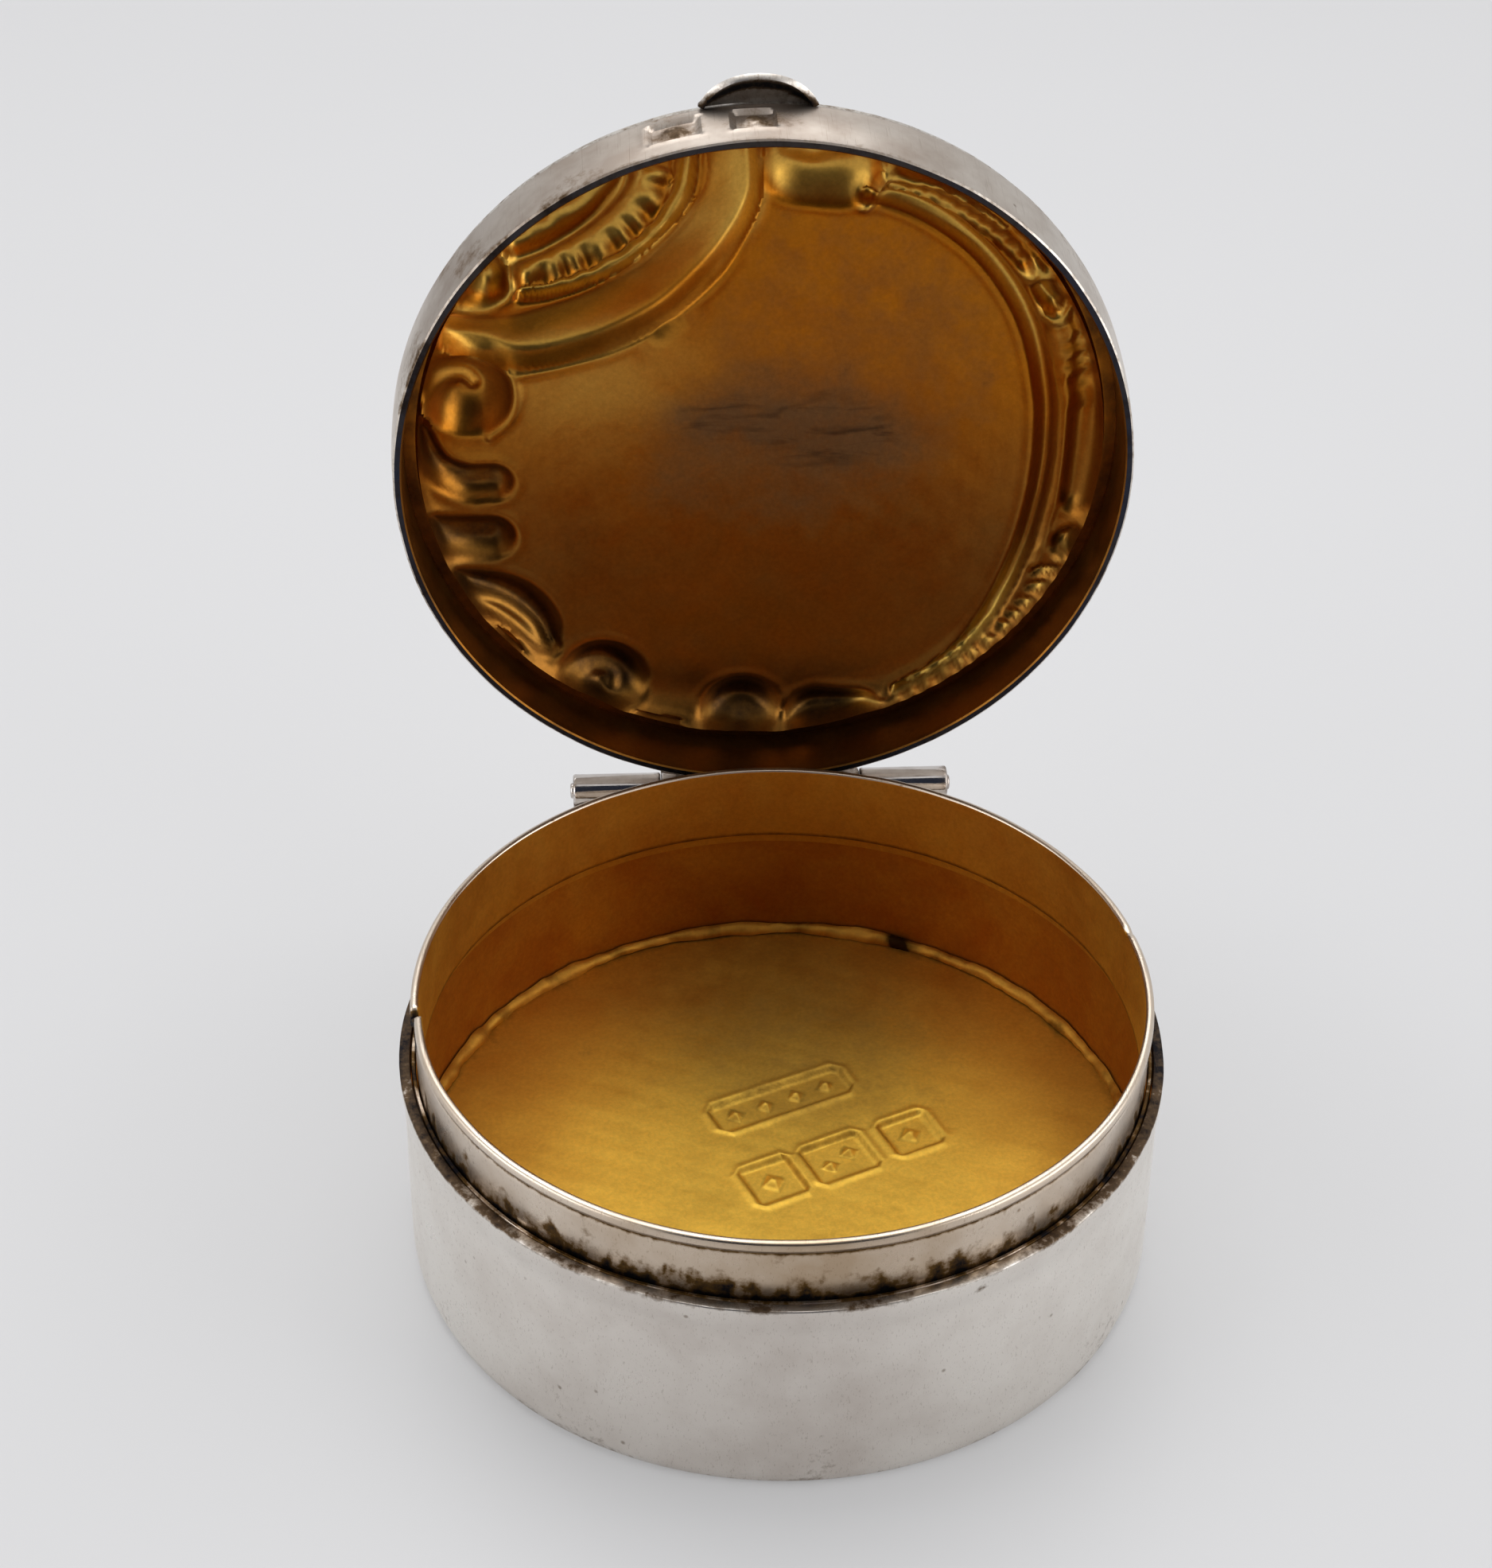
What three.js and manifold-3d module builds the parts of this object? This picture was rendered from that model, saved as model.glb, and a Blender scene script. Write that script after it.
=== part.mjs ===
// Round silver pill box with a hinged repousse lid, gilt inside, modelled standing open.
// Millimetres. +Z is up, the hinge is at the back (+Y), the thumbpiece opens from the front (-Y).
// The lid is drawn shut over the body and its group is then turned back about the hinge pin.
import * as THREE from "three";
import Module from "manifold-3d";
import { mergeVertices } from "three/addons/utils/BufferGeometryUtils.js";

// Named clearances.
const SOLDER_GAP = 0.05;
const RUNNING_GAP = 0.05;
const SHUT_GAP = 0.05;
const LID_CLEARANCE = 0.12;

// Body.
const BODY_RADIUS = 18;
const BODY_HEIGHT = 11.1;
const WALL = 0.5;
const FOOT_ROUND = 0.85;
const FOOT_TURN_IN = 1.5;
const BASE_THICKNESS = 0.6;
const FLOOR_TOP = 3.7;
const FLOOR_THICKNESS = 0.6;
const FILLET_SIZE = 0.35;
const SEAT_HEIGHT = 1.4;

// Liner that stands out of the body and guides the lid.
const SEAT_WIDTH = 0.7;
const LINER_WALL = 0.4;
const LINER_SUNK = 0.8;
const LINER_STAND = 3.3;
const LINER_NECK = 0.12;
const BEAD_HEIGHT = 0.55;
const LINER_SPLIT = 0.14;
const LINER_SPLIT_ANGLE = 184;

// Lid, in its shut place.
const BAND_WALL = 0.38;
const BAND_HEIGHT = 3.75;
const BAND_FLARE = 0.15;
const PLATE_THICKNESS = 0.4;
const OPEN_ANGLE = 90;

// Thumbpiece.
const LIP_WIDTH = 5.3;
const LIP_REACH = 1.6;
const LIP_THICKNESS = 0.45;
const LIP_CUP = 0.55;
const LIP_LIFT = 0.5;

// Hinge.
const KNUCKLE_RADIUS = 0.85;
const PIN_RADIUS = 0.4;
const HINGE_HALF = 9.65;
const LID_KNUCKLE_HALF = 5.1;
const AXIS_ABOVE_BODY = 0.95;
const BEARER_THICKNESS = 0.85;
const BEARER_SETBACK = 0.8;
const PIN_PROUD = 0.15;

const RING_SEGMENTS = 96;
const TUBE_SEGMENTS = 32;

// Sizes that follow from the ones above.
const LINER_RADIUS = BODY_RADIUS - SEAT_WIDTH;
const LINER_FOOT_Z = BODY_HEIGHT - LINER_SUNK;
const LINER_TOP_Z = BODY_HEIGHT + LINER_STAND;
const BAND_OUTER = LINER_RADIUS + LID_CLEARANCE + BAND_WALL;
const RIM_Z = BODY_HEIGHT + SHUT_GAP;
const SHOULDER_Z = RIM_Z + BAND_HEIGHT;
const PLATE_RADIUS = BAND_OUTER + BAND_FLARE;
const PLATE_Z = SHOULDER_Z + SOLDER_GAP;
const AXIS_Y = BAND_OUTER + KNUCKLE_RADIUS + BAND_FLARE;
const AXIS_Z = BODY_HEIGHT + AXIS_ABOVE_BODY;
const BEARER_BACK_Y = AXIS_Y + BEARER_SETBACK;

const wasm = await Module();
wasm.setup();

const silver = new THREE.MeshStandardMaterial({ color: 0xc9c4bf, roughness: 0.38, metalness: 1 });
const darkSilver = new THREE.MeshStandardMaterial({ color: 0x5a5550, roughness: 0.6, metalness: 0.9 });
const gilt = new THREE.MeshStandardMaterial({ color: 0xb07c2c, roughness: 0.42, metalness: 1 });

function named(name, geometry, material) {
  const mesh = new THREE.Mesh(geometry, material);
  mesh.name = name;
  return mesh;
}

// A ring turned about Z from a closed profile of [radius, height], drawn anticlockwise.
function turned(profile, segments = RING_SEGMENTS) {
  const points = profile.map(([radius, height]) => new THREE.Vector2(radius, height));
  const onAxis = profile[0][0] === 0;
  if (!onAxis) points.push(points[0].clone());
  return new THREE.LatheGeometry(points, segments).rotateX(Math.PI / 2);
}

// Points of an arc in the profile plane, from one angle to another in degrees.
function arc(radius, height, size, from, to, steps) {
  const points = [];
  for (let i = 0; i <= steps; i++) {
    const angle = THREE.MathUtils.degToRad(from + ((to - from) * i) / steps);
    points.push([radius + size * Math.cos(angle), height + size * Math.sin(angle)]);
  }
  return points;
}

function solid(geometry) {
  const bare = new THREE.BufferGeometry();
  const flat = geometry.index ? geometry.toNonIndexed() : geometry;
  bare.setAttribute("position", flat.getAttribute("position"));
  const merged = mergeVertices(bare, 1e-4);
  return new wasm.Manifold(
    new wasm.Mesh({
      numProp: 3,
      vertProperties: merged.attributes.position.array,
      triVerts: new Uint32Array(merged.index.array),
    }),
  );
}

function geometryOf(manifold) {
  const mesh = manifold.getMesh();
  const positions = new Float32Array(mesh.numVert * 3);
  for (let i = 0; i < mesh.numVert; i++) {
    const start = i * mesh.numProp;
    positions.set(mesh.vertProperties.subarray(start, start + 3), i * 3);
  }
  return new THREE.BufferGeometry()
    .setAttribute("position", new THREE.BufferAttribute(positions, 3))
    .setIndex(new THREE.BufferAttribute(mesh.triVerts, 1));
}

// Body wall with its foot turned in under the base.
function bodyWall() {
  const inner = BODY_RADIUS - WALL;
  const toe = BODY_RADIUS - FOOT_ROUND - FOOT_TURN_IN;
  const round = FOOT_ROUND;
  const profile = [
    [toe, 0],
    ...arc(BODY_RADIUS - round, round, round, -90, 0, 5),
    [BODY_RADIUS, BODY_HEIGHT],
    [inner, BODY_HEIGHT],
    ...arc(BODY_RADIUS - round, round, round - WALL, 0, -90, 3),
    [toe, WALL],
  ];
  return named("body_wall", turned(profile), silver);
}

// Flat plate let in flush inside the turned-in foot.
function basePlate() {
  const radius = BODY_RADIUS - FOOT_ROUND - FOOT_TURN_IN - SOLDER_GAP;
  const profile = [[0, 0], [radius, 0], [radius, BASE_THICKNESS], [0, BASE_THICKNESS]];
  return named("base_plate", turned(profile), silver);
}

// Gilt floor of the box, soldered across the wall above the base.
function floorPlate() {
  const radius = BODY_RADIUS - WALL - SOLDER_GAP;
  const bottom = FLOOR_TOP - FLOOR_THICKNESS;
  const profile = [[0, bottom], [radius, bottom], [radius, FLOOR_TOP], [0, FLOOR_TOP]];
  return named("floor_plate", turned(profile), gilt);
}

// Raised line of solder that closes the corner between floor and wall.
function floorFillet() {
  const outer = BODY_RADIUS - WALL - SOLDER_GAP;
  const bottom = FLOOR_TOP + SOLDER_GAP;
  const profile = [
    [outer - FILLET_SIZE, bottom],
    [outer, bottom],
    ...arc(outer - FILLET_SIZE, bottom, FILLET_SIZE, 0, 90, 4).slice(1),
    [outer - FILLET_SIZE * 1.6, bottom + FILLET_SIZE * 0.5],
  ];
  return named("floor_fillet", turned(profile), gilt);
}

// Ledge between wall and liner, on which the lid's rim shuts.
function seatRing() {
  const inner = LINER_RADIUS - LINER_NECK + SOLDER_GAP;
  const outer = BODY_RADIUS - WALL - SOLDER_GAP;
  const bottom = BODY_HEIGHT - SEAT_HEIGHT;
  const profile = [[inner, bottom], [outer, bottom], [outer, BODY_HEIGHT], [inner, BODY_HEIGHT]];
  return named("seat_ring", turned(profile), darkSilver);
}

// Sprung liner: a strip bent round, beaded at its top and left with an open butt joint.
function linerRing() {
  const neck = LINER_RADIUS - LINER_NECK;
  const inner = LINER_RADIUS - LINER_WALL;
  const bead = BEAD_HEIGHT / 2;
  const profile = [
    [inner, LINER_FOOT_Z],
    [neck, LINER_FOOT_Z],
    [neck, LINER_TOP_Z - BEAD_HEIGHT - 0.1],
    ...arc(LINER_RADIUS - bead, LINER_TOP_Z - bead, bead, -60, 90, 6),
    [inner + 0.06, LINER_TOP_Z],
    [inner, LINER_TOP_Z - 0.06],
  ];
  const height = LINER_TOP_Z - LINER_FOOT_Z + 2;
  const slot = new THREE.BoxGeometry(4, LINER_SPLIT, height);
  slot.translate(LINER_RADIUS, 0, LINER_FOOT_Z - 1 + height / 2);
  slot.rotateZ(THREE.MathUtils.degToRad(LINER_SPLIT_ANGLE));
  const split = solid(turned(profile)).subtract(solid(slot));
  return named("liner_ring", geometryOf(split), gilt);
}

// Straight side of the lid, a little wider at the shoulder than at the rim.
function lidBand() {
  const inner = BAND_OUTER - BAND_WALL;
  const profile = [
    [inner, RIM_Z],
    [BAND_OUTER, RIM_Z],
    [PLATE_RADIUS, SHOULDER_Z],
    [PLATE_RADIUS - BAND_WALL, SHOULDER_Z],
  ];
  return named("lid_band", turned(profile), silver);
}

// Scrolls of the chased border: centre and radius of each arc, the sector it runs through and
// the half-width and height of its ridge. Seen from above, x to the right and y to the front.
const SCROLLS = [
  { x: -8.6, y: 11.6, radius: 7.2, from: -100, to: 30, half: 1.3, rise: 0.75 },
  { x: -8.6, y: 11.6, radius: 3.6, from: -110, to: 40, half: 0.9, rise: 0.5 },
  { x: -14.3, y: 1.6, radius: 1.5, from: 0, to: 360, half: 1.0, rise: 0.7 },
  { x: -14.2, y: -2.2, radius: 1.0, from: 0, to: 360, half: 1.1, rise: 0.65 },
  { x: -13.6, y: -5.2, radius: 1.0, from: 0, to: 360, half: 1.1, rise: 0.65 },
  { x: -11.2, y: -9.4, radius: 2.2, from: -60, to: 160, half: 1.1, rise: 0.65 },
  { x: -7.9, y: -12.9, radius: 1.4, from: 0, to: 360, half: 1.1, rise: 0.75 },
  { x: -1.2, y: -14.6, radius: 1.2, from: 0, to: 360, half: 1.1, rise: 0.75 },
  { x: 3.6, y: -14.5, radius: 1.3, from: 0, to: 360, half: 1.1, rise: 0.75 },
  { x: 3.2, y: 13.8, radius: 1.8, from: 0, to: 360, half: 1.1, rise: 0.75 },
  { x: 0, y: 0, radius: 13.2, from: -62, to: 62, half: 0.55, rise: 0.45 },
  { x: 0, y: 0, radius: 15.4, from: -70, to: 70, half: 1.1, rise: 0.6 },
];
const BORDER_OUTER = PLATE_RADIUS - 1.05;
const BORDER_INNER = BORDER_OUTER - 4.5;
const BORDER_RISE = 0.35;
const FIELD_DOME = 0.3;

function smooth(low, high, value) {
  const t = THREE.MathUtils.clamp((value - low) / (high - low), 0, 1);
  return t * t * (3 - 2 * t);
}

function scrollRise(scroll, x, y) {
  const dx = x - scroll.x;
  const dy = y - scroll.y;
  const away = Math.abs(Math.hypot(dx, dy) - scroll.radius);
  const bearing = THREE.MathUtils.radToDeg(Math.atan2(dy, dx));
  const turn = (((bearing - scroll.from) % 360) + 360) % 360;
  const span = scroll.to - scroll.from;
  const past = span >= 360 ? 0 : Math.min(Math.max(turn - span, 0), 360 - turn);
  const along = THREE.MathUtils.degToRad(past) * scroll.radius;
  return scroll.rise * (1 - smooth(0, scroll.half, Math.hypot(away, along)));
}

// Height of the lid plate's underside above its flat edge.
function reliefAt(radius, angle) {
  const x = radius * Math.cos(angle);
  const front = -radius * Math.sin(angle);
  const edge = 1 - smooth(BORDER_OUTER - 0.9, BORDER_OUTER, radius);
  const border = BORDER_RISE * smooth(BORDER_INNER - 1, BORDER_INNER, radius);
  const dome = FIELD_DOME * (1 - (radius / BORDER_OUTER) ** 2);
  const scrolls = Math.max(...SCROLLS.map((scroll) => scrollRise(scroll, x, front)));
  return edge * (border + scrolls) + Math.max(dome, 0);
}

// Chased top of the lid: two matching skins over a round plan, closed at the edge.
function lidPlate() {
  const inward = [13.9, 10.9, 8.4, 6.9, 5.7, 4.7, 3.9, 3.1, 2.3, 1.5, 0.8, 0.3, 0];
  const radii = [...inward.map((step) => BORDER_OUTER - step), PLATE_RADIUS];
  const positions = [];
  const faces = [];
  for (const lift of [0, PLATE_THICKNESS]) {
    positions.push(0, 0, PLATE_Z + lift + reliefAt(0, 0));
    for (const radius of radii) {
      for (let i = 0; i < RING_SEGMENTS; i++) {
        const angle = (2 * Math.PI * i) / RING_SEGMENTS + Math.PI / 2;
        const z = PLATE_Z + lift + reliefAt(radius, angle);
        positions.push(radius * Math.cos(angle), radius * Math.sin(angle), z);
      }
    }
  }
  const skin = 1 + radii.length * RING_SEGMENTS;
  const at = (side, ring, i) => side * skin + 1 + ring * RING_SEGMENTS + (i % RING_SEGMENTS);
  for (let i = 0; i < RING_SEGMENTS; i++) {
    faces.push(0, at(0, 0, i + 1), at(0, 0, i));
    faces.push(skin, at(1, 0, i), at(1, 0, i + 1));
    for (let ring = 0; ring < radii.length - 1; ring++) {
      faces.push(at(0, ring, i), at(0, ring, i + 1), at(0, ring + 1, i + 1));
      faces.push(at(0, ring, i), at(0, ring + 1, i + 1), at(0, ring + 1, i));
      faces.push(at(1, ring, i), at(1, ring + 1, i), at(1, ring + 1, i + 1));
      faces.push(at(1, ring, i), at(1, ring + 1, i + 1), at(1, ring, i + 1));
    }
    const last = radii.length - 1;
    faces.push(at(0, last, i), at(0, last, i + 1), at(1, last, i + 1));
    faces.push(at(0, last, i), at(1, last, i + 1), at(1, last, i));
  }
  const geometry = new THREE.BufferGeometry();
  geometry.setAttribute("position", new THREE.Float32BufferAttribute(positions, 3));
  geometry.setIndex(faces);
  return named("lid_plate", geometry, silver);
}

// Cupped crescent lip soldered to the front of the band just under its shoulder.
function thumbpiece() {
  const across = 16;
  const out = 5;
  const half = LIP_WIDTH / 2;
  const root = SHOULDER_Z - LIP_CUP - LIP_THICKNESS + LIP_LIFT;
  const wallAt = BAND_OUTER + BAND_FLARE + SOLDER_GAP;
  const positions = [];
  const faces = [];
  for (const side of [0, 1]) {
    for (let i = 0; i <= across; i++) {
      const x = -half + (LIP_WIDTH * i) / across;
      const near = Math.sqrt(wallAt ** 2 - x ** 2);
      const reach = 0.25 + (LIP_REACH - 0.25) * Math.sqrt(Math.max(0, 1 - (x / half) ** 2));
      for (let j = 0; j <= out; j++) {
        const t = j / out;
        const cup = LIP_CUP * (x / half) ** 2 * (1 - t) + LIP_CUP * t * t;
        const thin = LIP_THICKNESS * (1 - 0.45 * t);
        const z = root + LIP_CUP - cup + side * thin;
        positions.push(x, -near - reach * t, z);
      }
    }
  }
  const row = out + 1;
  const skin = (across + 1) * row;
  const quad = (a, b, c, d) => faces.push(a, c, b, a, d, c);
  for (let i = 0; i < across; i++) {
    for (let j = 0; j < out; j++) {
      const a = i * row + j;
      quad(a, a + 1, a + row + 1, a + row);
      quad(skin + a, skin + a + row, skin + a + row + 1, skin + a + 1);
    }
    const near = i * row;
    const far = near + out;
    quad(near, near + row, skin + near + row, skin + near);
    quad(far, skin + far, skin + far + row, far + row);
  }
  for (let j = 0; j < out; j++) {
    const right = across * row + j;
    quad(j, skin + j, skin + j + 1, j + 1);
    quad(right, right + 1, skin + right + 1, skin + right);
  }
  const geometry = new THREE.BufferGeometry();
  geometry.setAttribute("position", new THREE.Float32BufferAttribute(positions, 3));
  geometry.setIndex(faces);
  return named("thumbpiece", geometry, silver);
}

// Bearer plate: hollow front edge that follows a round wall, straight back edge behind the barrel.
function bearer(name, half, frontRadius, bottom) {
  const steps = 12;
  const frontHalf = half * 0.86;
  const shape = new THREE.Shape();
  shape.moveTo(half, BEARER_BACK_Y);
  shape.lineTo(-half, BEARER_BACK_Y);
  shape.lineTo(-half, AXIS_Y - KNUCKLE_RADIUS);
  for (let i = 0; i <= steps; i++) {
    const x = -frontHalf + (2 * frontHalf * i) / steps;
    shape.lineTo(x, Math.sqrt(frontRadius ** 2 - x ** 2));
  }
  shape.lineTo(half, AXIS_Y - KNUCKLE_RADIUS);
  const geometry = new THREE.ExtrudeGeometry(shape, { depth: BEARER_THICKNESS, bevelEnabled: false });
  return named(name, geometry.translate(0, 0, bottom), silver);
}

// One knuckle of the barrel, from one x to another along the pin.
function knuckle(name, from, to) {
  const bore = PIN_RADIUS + RUNNING_GAP;
  const profile = [[bore, from], [KNUCKLE_RADIUS, from], [KNUCKLE_RADIUS, to], [bore, to]];
  const geometry = turned(profile, TUBE_SEGMENTS).rotateY(Math.PI / 2);
  return named(name, geometry.translate(0, AXIS_Y, AXIS_Z), silver);
}

function hingePin() {
  const end = HINGE_HALF + PIN_PROUD;
  const profile = [[0, -end], [PIN_RADIUS, -end], [PIN_RADIUS, end], [0, end]];
  const geometry = turned(profile, TUBE_SEGMENTS).rotateY(Math.PI / 2);
  return named("hinge_pin", geometry.translate(0, AXIS_Y, AXIS_Z), silver);
}

function body() {
  const group = new THREE.Group();
  const bearerZ = AXIS_Z - KNUCKLE_RADIUS - SOLDER_GAP - BEARER_THICKNESS;
  group.add(bodyWall(), basePlate(), floorPlate(), floorFillet(), seatRing(), linerRing());
  group.add(bearer("body_bearer", HINGE_HALF, BODY_RADIUS + SOLDER_GAP, bearerZ));
  group.add(knuckle("knuckle_left", -HINGE_HALF, -LID_KNUCKLE_HALF - RUNNING_GAP));
  group.add(knuckle("knuckle_right", LID_KNUCKLE_HALF + RUNNING_GAP, HINGE_HALF));
  group.add(hingePin());
  return group;
}

// The lid, turned back about the pin from its shut place.
function lid() {
  const shut = new THREE.Group();
  const bearerZ = AXIS_Z + KNUCKLE_RADIUS + SOLDER_GAP;
  shut.add(lidBand(), lidPlate(), thumbpiece());
  shut.add(bearer("lid_bearer", LID_KNUCKLE_HALF, PLATE_RADIUS + SOLDER_GAP, bearerZ));
  shut.add(knuckle("knuckle_lid", -LID_KNUCKLE_HALF, LID_KNUCKLE_HALF));
  shut.position.set(0, -AXIS_Y, -AXIS_Z);
  const turnedBack = new THREE.Group();
  turnedBack.add(shut);
  turnedBack.position.set(0, AXIS_Y, AXIS_Z);
  turnedBack.rotation.x = -THREE.MathUtils.degToRad(OPEN_ANGLE);
  return turnedBack;
}

const pillBox = new THREE.Group();
pillBox.add(body(), lid());

export default pillBox;
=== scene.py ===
"""A small round silver pill box, gilt inside, standing open on a pale table.

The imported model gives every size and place. The pieces made here are the same pieces with the
finer shape that a silversmith's hand gives them: the chased scrollwork of the lid, the beaded and
seamed liner, the struck floor, the turned foot. Lengths are millimetres until a mesh is written.
"""

import logging
import math
from dataclasses import dataclass
from enum import Enum
from typing import Callable, Sequence

import bpy
import numpy as np
from mathutils import Matrix, Vector

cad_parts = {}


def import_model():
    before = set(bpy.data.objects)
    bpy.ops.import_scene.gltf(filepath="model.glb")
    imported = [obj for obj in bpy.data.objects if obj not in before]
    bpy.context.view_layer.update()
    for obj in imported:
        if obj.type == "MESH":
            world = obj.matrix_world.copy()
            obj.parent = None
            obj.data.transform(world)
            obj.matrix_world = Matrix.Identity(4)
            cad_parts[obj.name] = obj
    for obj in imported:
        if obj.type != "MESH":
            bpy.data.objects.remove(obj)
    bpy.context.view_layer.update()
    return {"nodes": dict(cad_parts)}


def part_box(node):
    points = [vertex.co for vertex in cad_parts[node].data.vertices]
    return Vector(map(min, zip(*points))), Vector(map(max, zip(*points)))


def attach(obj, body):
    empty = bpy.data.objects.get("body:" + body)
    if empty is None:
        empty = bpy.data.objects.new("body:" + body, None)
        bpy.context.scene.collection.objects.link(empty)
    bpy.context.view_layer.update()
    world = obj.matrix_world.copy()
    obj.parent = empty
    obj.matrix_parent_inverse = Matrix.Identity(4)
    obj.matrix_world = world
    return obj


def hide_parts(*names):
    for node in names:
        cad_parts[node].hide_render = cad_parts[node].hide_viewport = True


MM = 0.001
LOG = logging.getLogger("pill_box")
Array = np.ndarray
Shaper = Callable[[Array], Array]
Point = tuple[float, float, float]
Socket = bpy.types.NodeSocket


class Body(Enum):
    """The two bodies that the hinge joins."""

    BOX = "body"
    LID = "lid"


class Slot(Enum):
    """The record's material slots."""

    SATIN = "satin_silver"
    TARNISHED = "tarnished_silver"
    GILT = "gilt"


class Tool(Enum):
    """What a chaser's stroke does to the sheet, seen from inside the lid."""

    HOLLOW = "hollow"
    RIDGE = "ridge"
    FLUTES = "flutes"


# --------------------------------------------------------------------------- numbers


def ease(low: float, high: float, value: Array) -> Array:
    """Smooth step of a value.

    Args:
        low: Where the step starts, at 0.
        high: Where the step ends, at 1.
        value: The values to map.

    Returns:
        The mapped values, from 0 to 1.
    """
    t = unit((value - low) / (high - low))
    return t * t * (3.0 - 2.0 * t)


def bump(value: Array, width: float) -> Array:
    """A bell curve, 1 at 0 and fading over the given width."""
    return np.exp(-((value / width) ** 2))


def polar(spots: Array) -> tuple[Array, Array]:
    """Each spot's distance from the middle, and its angle from the first axis in degrees."""
    return np.hypot(*spots.T), np.degrees(np.arctan2(spots[:, 1], spots[:, 0]))


def turn_gap(angle: Array, centre: float) -> Array:
    """How far each angle is from a centre angle, in degrees from -180 to 180."""
    return (angle - centre + 180.0) % 360.0 - 180.0


def unit(values: Array) -> Array:
    """Values held between 0 and 1."""
    return np.clip(values, 0.0, 1.0)


def outward(spots: Array, grow: Array) -> Array:
    """For each spot, a step of the given size away from the middle."""
    return spots / np.hypot(*spots.T)[:, None] * grow[:, None]


def ripple(points: Array, size: float, seed: int) -> Array:
    """A smooth irregular field over points, from about -1 to 1.

    Args:
        points: Points, one a row.
        size: The width of a typical patch, in the points' unit.
        seed: Chooses the field.

    Returns:
        One number for each point.
    """
    chance = np.random.default_rng(seed)
    total = np.zeros(len(points))
    for octave in range(3):
        for _ in range(5):
            way = chance.normal(size=3)
            way *= 2.0 * math.pi / (size * 0.5**octave * np.linalg.norm(way))
            total += np.sin(points @ way + chance.uniform(0.0, 6.28)) * 0.55**octave
    return total / 4.2


# --------------------------------------------------------------------------- colours and nodes


def tone(code: str) -> tuple[float, float, float, float]:
    """Turns an sRGB hex colour to linear.

    Args:
        code: Six hex digits after a hash sign.

    Returns:
        Linear red, green, blue and an alpha of 1.
    """
    parts = [int(code[i : i + 2], 16) / 255.0 for i in (1, 3, 5)]
    line = [p / 12.92 if p <= 0.04045 else ((p + 0.055) / 1.055) ** 2.4 for p in parts]
    return (line[0], line[1], line[2], 1.0)


def add(tree: bpy.types.NodeTree, kind: str, **given: object) -> bpy.types.Node:
    """Adds a node with its settings and links.

    Args:
        tree: The node tree it goes in.
        kind: The node's type name after "ShaderNode".
        given: A setting, an input's value, or an output socket to link to that input. An
            input's name is written with underscores, or as i0, i1 for its place.

    Returns:
        The new node.
    """
    made = tree.nodes.new("ShaderNode" + kind)
    for name, value in given.items():
        spaced = name.replace("_", " ")
        if name[0] == "i" and name[1:].isdigit():
            socket = made.inputs[int(name[1:])]
        elif spaced in made.inputs:
            socket = made.inputs[spaced]
        else:
            setattr(made, name, value)
            continue
        if isinstance(value, Socket):
            tree.links.new(value, socket)
        else:
            socket.default_value = value
    return made


@dataclass(frozen=True)
class Wiring:
    """A material's node tree, with short ways to add what the finishes share.

    Attributes:
        tree: The node tree.
        where: Its Object coordinates.
    """

    tree: bpy.types.NodeTree
    where: Socket

    def noise(self, size: float, **given: object) -> Socket:
        """Noise whose patches are about the given size in millimetres."""
        given.setdefault("Vector", self.where)
        return add(self.tree, "TexNoise", Scale=1 / (size * MM), **given).outputs[0]

    def laid(self, **given: object) -> Socket:
        """The coordinates stretched and turned."""
        return add(self.tree, "Mapping", Vector=self.where, **given).outputs[0]

    def painted(self, name: str) -> Socket:
        """A number that is painted on the piece."""
        return add(self.tree, "Attribute", attribute_name=name).outputs["Fac"]

    def ramp(self, value: Socket, low: float, high: float, **given: object) -> Socket:
        """A straight ramp from 0 at low to 1 at high, held beyond both."""
        return add(self.tree, "MapRange", Value=value, From_Min=low, From_Max=high, **given).outputs[0]

    def maths(self, operation: str, *values: object, **given: object) -> Socket:
        """Arithmetic on sockets and numbers."""
        inputs = {f"i{place}": value for place, value in enumerate(values)}
        return add(self.tree, "Math", operation=operation, **inputs, **given).outputs[0]

    def over(self, share: Socket, under: object, code: str) -> Socket:
        """Lays a hex colour over another colour by a share."""
        return add(self.tree, "MixRGB", Fac=share, Color1=under, Color2=tone(code)).outputs[0]

    def times(self, colour: object, factor: Socket) -> Socket:
        """Lightens or darkens a colour by a factor."""
        made = add(self.tree, "MixRGB", blend_type="MULTIPLY", Fac=1.0, Color1=colour, Color2=factor)
        return made.outputs[0]

    def end(self, colour: Socket, rough: object, **given: object) -> None:
        """Ends the tree in a shader."""
        shader = add(self.tree, "BsdfPrincipled", Base_Color=colour, Roughness=rough, **given)
        add(self.tree, "OutputMaterial", Surface=shader.outputs[0])

    def relief(self, height: Socket, strength: float, size: float) -> Socket:
        """Relief too fine to model, of a height in millimetres."""
        return add(self.tree, "Bump", Height=height, Strength=strength, Distance=size * MM).outputs[0]


def start(name: str) -> tuple[bpy.types.Material, Wiring]:
    """Starts a material with an emptied node tree."""
    material = bpy.data.materials.new(name)
    material.use_nodes = True
    tree = material.node_tree
    tree.nodes.clear()
    return material, Wiring(tree, add(tree, "TexCoord").outputs["Object"])


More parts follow.
